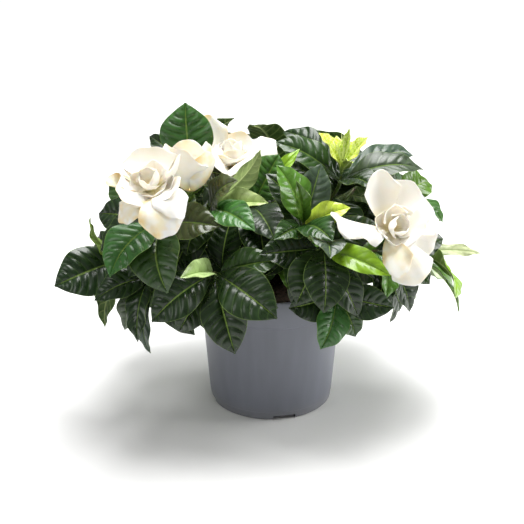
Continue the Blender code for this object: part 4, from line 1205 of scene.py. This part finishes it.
edge_line = add(tree, "MapRange", {"From Min": 0.484, "From Max": 0.496, "To Max": 0.40}, {"Value": off_rib})
lines = add(tree, "Math", links={0: rib_line, 1: edge_line}, operation="MAXIMUM")
lit_veins = add(tree, "MixRGB", {"Color2": linear("#5f7d3c")}, {"Fac": vein_line, "Color1": blade_green})
lit_ribs = add(tree, "MixRGB", {"Color2": linear("#8aa653")}, {"Fac": lines, "Color1": lit_veins})
satin_to_dull = {"From Min": 0.35, "From Max": 0.7, "To Min": 0.25, "To Max": 0.40}
wax_shine = add(tree, "MapRange", satin_to_dull, {"Value": mottle})
# The net of the smallest veins, about 1 mm across.
net = add(tree, "TexVoronoi", {"Scale": 900.0}, {"Vector": place_on_leaf}, feature="DISTANCE_TO_EDGE")
net_bump = add(tree, "Bump", {"Strength": 0.25, "Distance": 0.0002}, {"Height": net})
wire(tree, Base_Color=lit_ribs, Roughness=wax_shine, Normal=net_bump)

# Its underside: matt and paler, with the same veins standing out in yellow-green.
matt, tree, place_on_back = new_material("matt_leaf_back", Roughness=0.62, IOR=1.42)
back_tint = add(tree, "Attribute", attribute_name="tint")
back_noise = add(tree, "TexNoise", {"Scale": 260.0, "Detail": 3.0}, {"Vector": place_on_back})
back_pale = add(tree, "ValToRGB", links={"Fac": back_noise}, ramp=((0.30, "#5d7540"), (0.72, "#86a05a")))
back_green = add(tree, "MixRGB", {"Fac": 0.62}, {"Color1": back_tint, "Color2": back_pale})
off_rib, off_vein = leaf_lines(tree)
back_vein = add(tree, "MapRange", {"From Min": 0.10, "From Max": 0.02, "To Max": 0.5}, {"Value": off_vein})
back_rib = add(tree, "MapRange", {"From Min": 0.035, "From Max": 0.012, "To Max": 0.9}, {"Value": off_rib})
back_lines = add(tree, "Math", links={0: back_vein, 1: back_rib}, operation="MAXIMUM")
back_ribs = add(tree, "MixRGB", {"Color2": linear("#b9c886")}, {"Fac": back_lines, "Color1": back_green})
back_bump = add(tree, "Bump", {"Strength": 0.4, "Distance": 0.0003}, {"Height": back_noise})
wire(tree, Base_Color=back_ribs, Normal=back_bump)

for material in (wax, matt):
    leaf_sheet.data.materials.append(material)

# Leaf colours by age and by the light on each leaf, each with how deeply it is quilted. The lighter
# and darker kinds are partly the leaf's own green and partly painted light and painted shade; the grey
# kind is dark green with a painted grey-green reflection of the pale surround on it.
LEAF_TINTS = {
    "deep": ("#182c0f", 0.7),
    "dark": ("#1c3013", 1.0),
    "mid": ("#2a461b", 1.0),
    "fresh": ("#3a6429", 1.2),
    "bright": ("#4c7422", 0.8),
    "olive": ("#3d4424", 0.8),
    "grey": ("#3a4a38", 0.7),
    "new": ("#7da322", 0.6),
    "young": ("#c3d84c", 0.7),
    "pale": ("#abc07e", 0.4),
    "faded": ("#b3c49f", 0.4),
}
COMMON_TINTS = ("deep", "dark", "dark", "mid", "mid", "dark", "mid", "bright")
INNER_TINTS = ("deep", "dark", "deep", "mid")
# Leaves that stand out from the rest, by shoot and place in its list: some by painted light and shade,
# and those of the grey kind by a painted reflection.
LEAF_LOOKS = {
    "top_left": {0: "fresh", 3: "olive"},
    "middle_right": {0: "bright", 1: "bright", 2: "grey", 5: "young"},
    "middle": {0: "fresh", 1: "dark", 2: "new", 3: "grey", 4: "dark"},
    "middle_left": {0: "pale", 2: "pale", 3: "fresh", 5: "olive"},
    "front_left_low": {0: "dark", 1: "dark", 2: "dark", 3: "pale"},
    "left_middle": {0: "fresh", 2: "dark", 3: "mid", 4: "olive"},
    "far_left": {0: "dark", 1: "new", 2: "grey", 3: "dark"},
    "left_low": {0: "grey", 1: "deep", 2: "grey"},
    "top_right": {0: "grey", 1: "mid", 2: "dark", 5: "grey"},
    "right_back": {0: "mid", 1: "bright", 2: "fresh", 3: "new"},
    "right_low": {0: "bright", 1: "dark", 3: "dark", 4: "dark"},
    "front_right": {0: "deep", 1: "deep", 2: "deep", 3: "dark", 4: "grey", 5: "new"},
    "front_right_low": {0: "fresh", 1: "mid", 2: "deep", 3: "dark"},
    "right_side": {0: "faded", 1: "new", 2: "faded", 4: "bright"},
}
YOUNG_TIP_LEAVES = [
    Leaf((0.041, 0.012, 0.243), 0.021, 0.06, 0.5),
    Leaf((0.082, 0.010, 0.239), 0.021, 0.06, 0.5),
    Leaf((0.058, 0.030, 0.238), 0.012, 0.04, 0.5),
    Leaf((0.072, 0.020, 0.244), 0.009, 0.02, 0.6),
    Leaf((0.060, -0.004, 0.232), 0.009, 0.02, 0.6),
]
leaf_rng = random.Random(29)


def tinted(kind):
    """A leaf's colour, a little lighter or darker and yellower or bluer than its kind's, and its quilting."""
    colour, quilt = LEAF_TINTS[kind]
    red, green, blue, _ = linear(colour)
    light, warm = leaf_rng.uniform(0.85, 1.2), leaf_rng.uniform(-0.10, 0.14)
    return (red * light * (1 + warm), green * light, blue * light * (1 - warm), 1.0), quilt


def join_leaves(name, leaves, slot, body=None, *nodes):
    """Joins leaves, gives them their thickness, fastens them to their stem if it's a piece with them, and
    puts them in place of its CAD node."""
    work_on(*leaves)
    bpy.ops.object.join()
    foliage = bpy.context.active_object
    thicken(foliage, LEAF_THICKNESS, back=1)
    if body:
        work_on(foliage, body)
        bpy.ops.object.join()
    foliage.name = name
    smooth(foliage, 60)
    finish_piece(foliage, slot, *nodes)


def grow(shoot, index, leaf_at, base_drop):
    """Places a shoot's next leaf, whose base is base_drop below the top of its stem."""
    axis = axis_of(shoot)
    base = down_stem(paths[shoot.name], base_drop)
    blade = place(leaf_blade(base, axis, leaf_at(base, axis, index)), "shoot_" + shoot.name)
    grown[shoot.name].append((index, blade))


tip_axis = Vector((0.05, -0.15, 1.0)).normalized()
tip_foot = paths["top_right"][-1] + tip_axis * 0.0012
tip_base = tip_foot + tip_axis * 0.0018
young_blades = [place(leaf_blade(tip_base, tip_axis, leaf), "young") for leaf in YOUNG_TIP_LEAVES]
grown = {shoot.name: [] for shoot in SHOOTS}
for shoot in SHOOTS:
    for index, leaf in enumerate(shoot.leaves):
        grow(shoot, index, lambda *_: leaf, BUD_LENGTH + NODE_SPACING * (index // 2))
for shoot in SHOOTS:
    for index in range(len(shoot.leaves), len(shoot.leaves) + shoot.more):
        grow(shoot, index, whorl_leaf, BUD_LENGTH + NODE_SPACING * (index // 2))
# Smaller, older leaves further down each stem, and others straight from the bark, fill the plant inside.
for shoot in SHOOTS:
    count = len(grown[shoot.name])
    for below in range(LOWER_LEAVES):
        drop = BUD_LENGTH + NODE_SPACING * count / 2 + 0.005 * (below + 1)
        grow(shoot, count + below, lower_leaf, drop)
inner = {name: [] for name in TRUNKS}
for name in TRUNKS:
    path = trunk_path(name)
    for index in range(INNER_LEAVES):
        rise = 0.25 + 0.75 * index / INNER_LEAVES
        point = trunk_point(path[1], path[-1], rise)
        angle = index * GOLDEN_ANGLE + 0.7 * len(name)
        out = Vector((math.cos(angle), math.sin(angle), 0.0))
        base = point + out * TRUNK_RADII[0]
        way = (out + Vector((0, 0, 0.1 + 0.5 * rise))).normalized()
        tip = base + way * (INNER_LEAF[0] - 0.012 * (index % 3))
        face = (Vector((0, 0, 1)) + out * 0.4).normalized()
        blade = Blade(base, tip, face, INNER_LEAF[1], 0.13, 0.28, -0.12, leaf_outline)
        inner[name].append(place(blade, "woody_stem_" + name))
for shoot in SHOOTS:
    leaves = []
    for index, blade in grown[shoot.name]:
        if blade:
            kind = LEAF_LOOKS.get(shoot.name, {}).get(index) or leaf_rng.choice(COMMON_TINTS)
            leaves.append(leaf_object(blade, leaf_rng, *tinted(kind)))
    body = shoot_stems[shoot.name]
    join_leaves("leafy_shoot_" + shoot.name, leaves, "leaf_green", body, "shoot_" + shoot.name)
for name, blades in inner.items():
    leaves = [leaf_object(b, leaf_rng, *tinted(leaf_rng.choice(INNER_TINTS))) for b in blades if b]
    join_leaves("inner_leaves_" + name, leaves, "leaf_green")


# ---- The new shoot tip -------------------------------------------------------------------------------------
# The newest growth stands up from a bud: two soft yellow-green leaves, smaller ones between them, and narrow
# pale stipules like needles. It is smoother than the old leaves, with a net of pale veins.

STIPULE_TIPS = (
    (0.062, 0.006, 0.243), (0.068, 0.002, 0.240), (0.056, -0.002, 0.238), (0.073, 0.006, 0.236),
    (0.052, 0.008, 0.240), (0.066, 0.014, 0.246), (0.060, 0.016, 0.244),
)
TIP_QUILT = 0.6

young_blades = [blade for blade in young_blades if blade]
tip_leaves = [leaf_object(blade, leaf_rng, tinted("young")[0], TIP_QUILT, curl=0.0) for blade in young_blades]


def tip_radius(distance, length):
    return 0.0014 - 0.0008 * distance / length


tip_path = [tip_foot + tip_axis * rise for rise in (0.0, 0.007, 0.014)]
tip_stem = stem("tip_stem", tip_path, tip_radius, green_stem)
# The new leaf's upper face: thin and tender, with a net of pale veins about 3 mm across under the wax.
tender = wax.copy()
tender.name = "tender_new_leaf"
tree = tender.node_tree
place_on_tip = add(tree, "TexCoord").outputs["Object"]
young_net = add(tree, "TexVoronoi", {"Scale": 330.0}, {"Vector": place_on_tip}, feature="DISTANCE_TO_EDGE")
net_line = add(tree, "MapRange", {"From Min": 0.16, "From Max": 0.03, "To Max": 0.7}, {"Value": young_net})
under_net = tree.nodes["Principled BSDF"].inputs["Base Color"].links[0].from_socket
netted = add(tree, "MixRGB", {"Color2": linear("#eaf2a4")}, {"Fac": net_line, "Color1": under_net})
wire(tree, Base_Color=netted)
for leaf in tip_leaves:
    leaf.data.materials[0] = tender

# Stipule: papery and pale yellow-green, a little uneven.
papery, tree, place_on_stipule = new_material("papery_stipule", Roughness=0.6, IOR=1.42)
papery_noise = add(tree, "TexNoise", {"Scale": 300.0, "Detail": 2.0}, {"Vector": place_on_stipule})
papery_shade = add(tree, "ValToRGB", links={"Fac": papery_noise}, ramp=((0.0, "#c6d583"), (1.0, "#e6ecb4")))
papery_bump = add(tree, "Bump", {"Strength": 0.3, "Distance": 0.0001}, {"Height": papery_noise})
wire(tree, Base_Color=papery_shade, Normal=papery_bump)


def stipule_radius(distance, length):
    return 0.0007 - 0.0005 * distance / length


stipules = []
for index, end in enumerate(STIPULE_TIPS):
    foot = tip_foot + tip_axis * (0.004 + 0.001 * index)
    bowed = foot.lerp(Vector(end), 0.5) + tip_axis * 0.002
    stipules.append(stem("stipule", [foot, bowed, Vector(end)], stipule_radius, papery, 8))
work_on(tip_stem, *stipules)
bpy.ops.object.join()
join_leaves("young_shoot_leaves", tip_leaves, "leaf_young", tip_stem, "young_shoot_tip")
bpy.data.objects.remove(leaf_sheet)


# ---- Floor, light and camera -------------------------------------------------------------------------------
# A pale seamless floor under soft light in an even pale surround: one softbox overhead, a weak one at the
# left in front, one low at the right, and one over the floor behind, which keeps the background pale.

FLOOR_SIZE = 14
SURROUND_STRENGTH = 0.24

bpy.ops.mesh.primitive_plane_add(size=FLOOR_SIZE, location=(0, 0, 0))
floor = bpy.context.active_object
floor.name = "pale_floor"
card, tree, place_on_card = new_material("matt_pale_card", Roughness=0.8)
fibres = add(tree, "TexNoise", {"Scale": 8.0, "Detail": 2.0}, {"Vector": place_on_card})
card_shade = add(tree, "ValToRGB", links={"Fac": fibres}, ramp=((0.0, "#f1f1f0"), (1.0, "#f6f6f5")))
wire(tree, Base_Color=card_shade)
floor.data.materials.append(card)

surround = bpy.data.worlds.new("pale_surround")
bpy.context.scene.world = surround
surround.use_nodes = True
background = surround.node_tree.nodes["Background"]
background.inputs["Color"].default_value = (1.0, 1.0, 1.0, 1.0)
background.inputs["Strength"].default_value = SURROUND_STRENGTH

# Each softbox as (name, place, what it points at, size, watts).
SOFTBOXES = (
    ("top_softbox", (0.15, 0.25, 1.35), (0.0, 0.0, 0.15), 0.85, 29.0),
    ("left_softbox", (-1.1, -0.9, 1.25), (0.0, 0.0, 0.15), 0.8, 6.0),
    ("right_softbox", (1.35, 0.2, 0.4), (0.0, 0.0, 0.12), 0.8, 15.0),
    ("backdrop_softbox", (0.0, 1.6, 1.5), (0.0, 1.6, 0.0), 1.2, 20.0),
)
for name, where, aim, size, power in SOFTBOXES:
    light = bpy.data.lights.new(name, "AREA")
    light.shape = "SQUARE"
    light.size = size
    light.energy = power
    lamp = bpy.data.objects.new(name, light)
    lamp.location = where
    lamp.rotation_euler = (Vector(aim) - Vector(where)).to_track_quat("-Z", "Y").to_euler()
    bpy.context.scene.collection.objects.link(lamp)

CAMERA_DISTANCE = 1.25
CAMERA_RISE = math.radians(22.8)
CAMERA_LENS = 97.87
target = Vector((-0.008, 0.0, 0.128))
camera_data = bpy.data.cameras.new("camera")
camera_data.sensor_width = 36.0
camera_data.lens = CAMERA_LENS
camera = bpy.data.objects.new("camera", camera_data)
camera.location = target + Vector((0, -math.cos(CAMERA_RISE), math.sin(CAMERA_RISE))) * CAMERA_DISTANCE
camera.rotation_euler = (target - camera.location).to_track_quat("-Z", "Y").to_euler()
bpy.context.scene.collection.objects.link(camera)
bpy.context.scene.camera = camera
bpy.context.scene.view_settings.view_transform = "Standard"
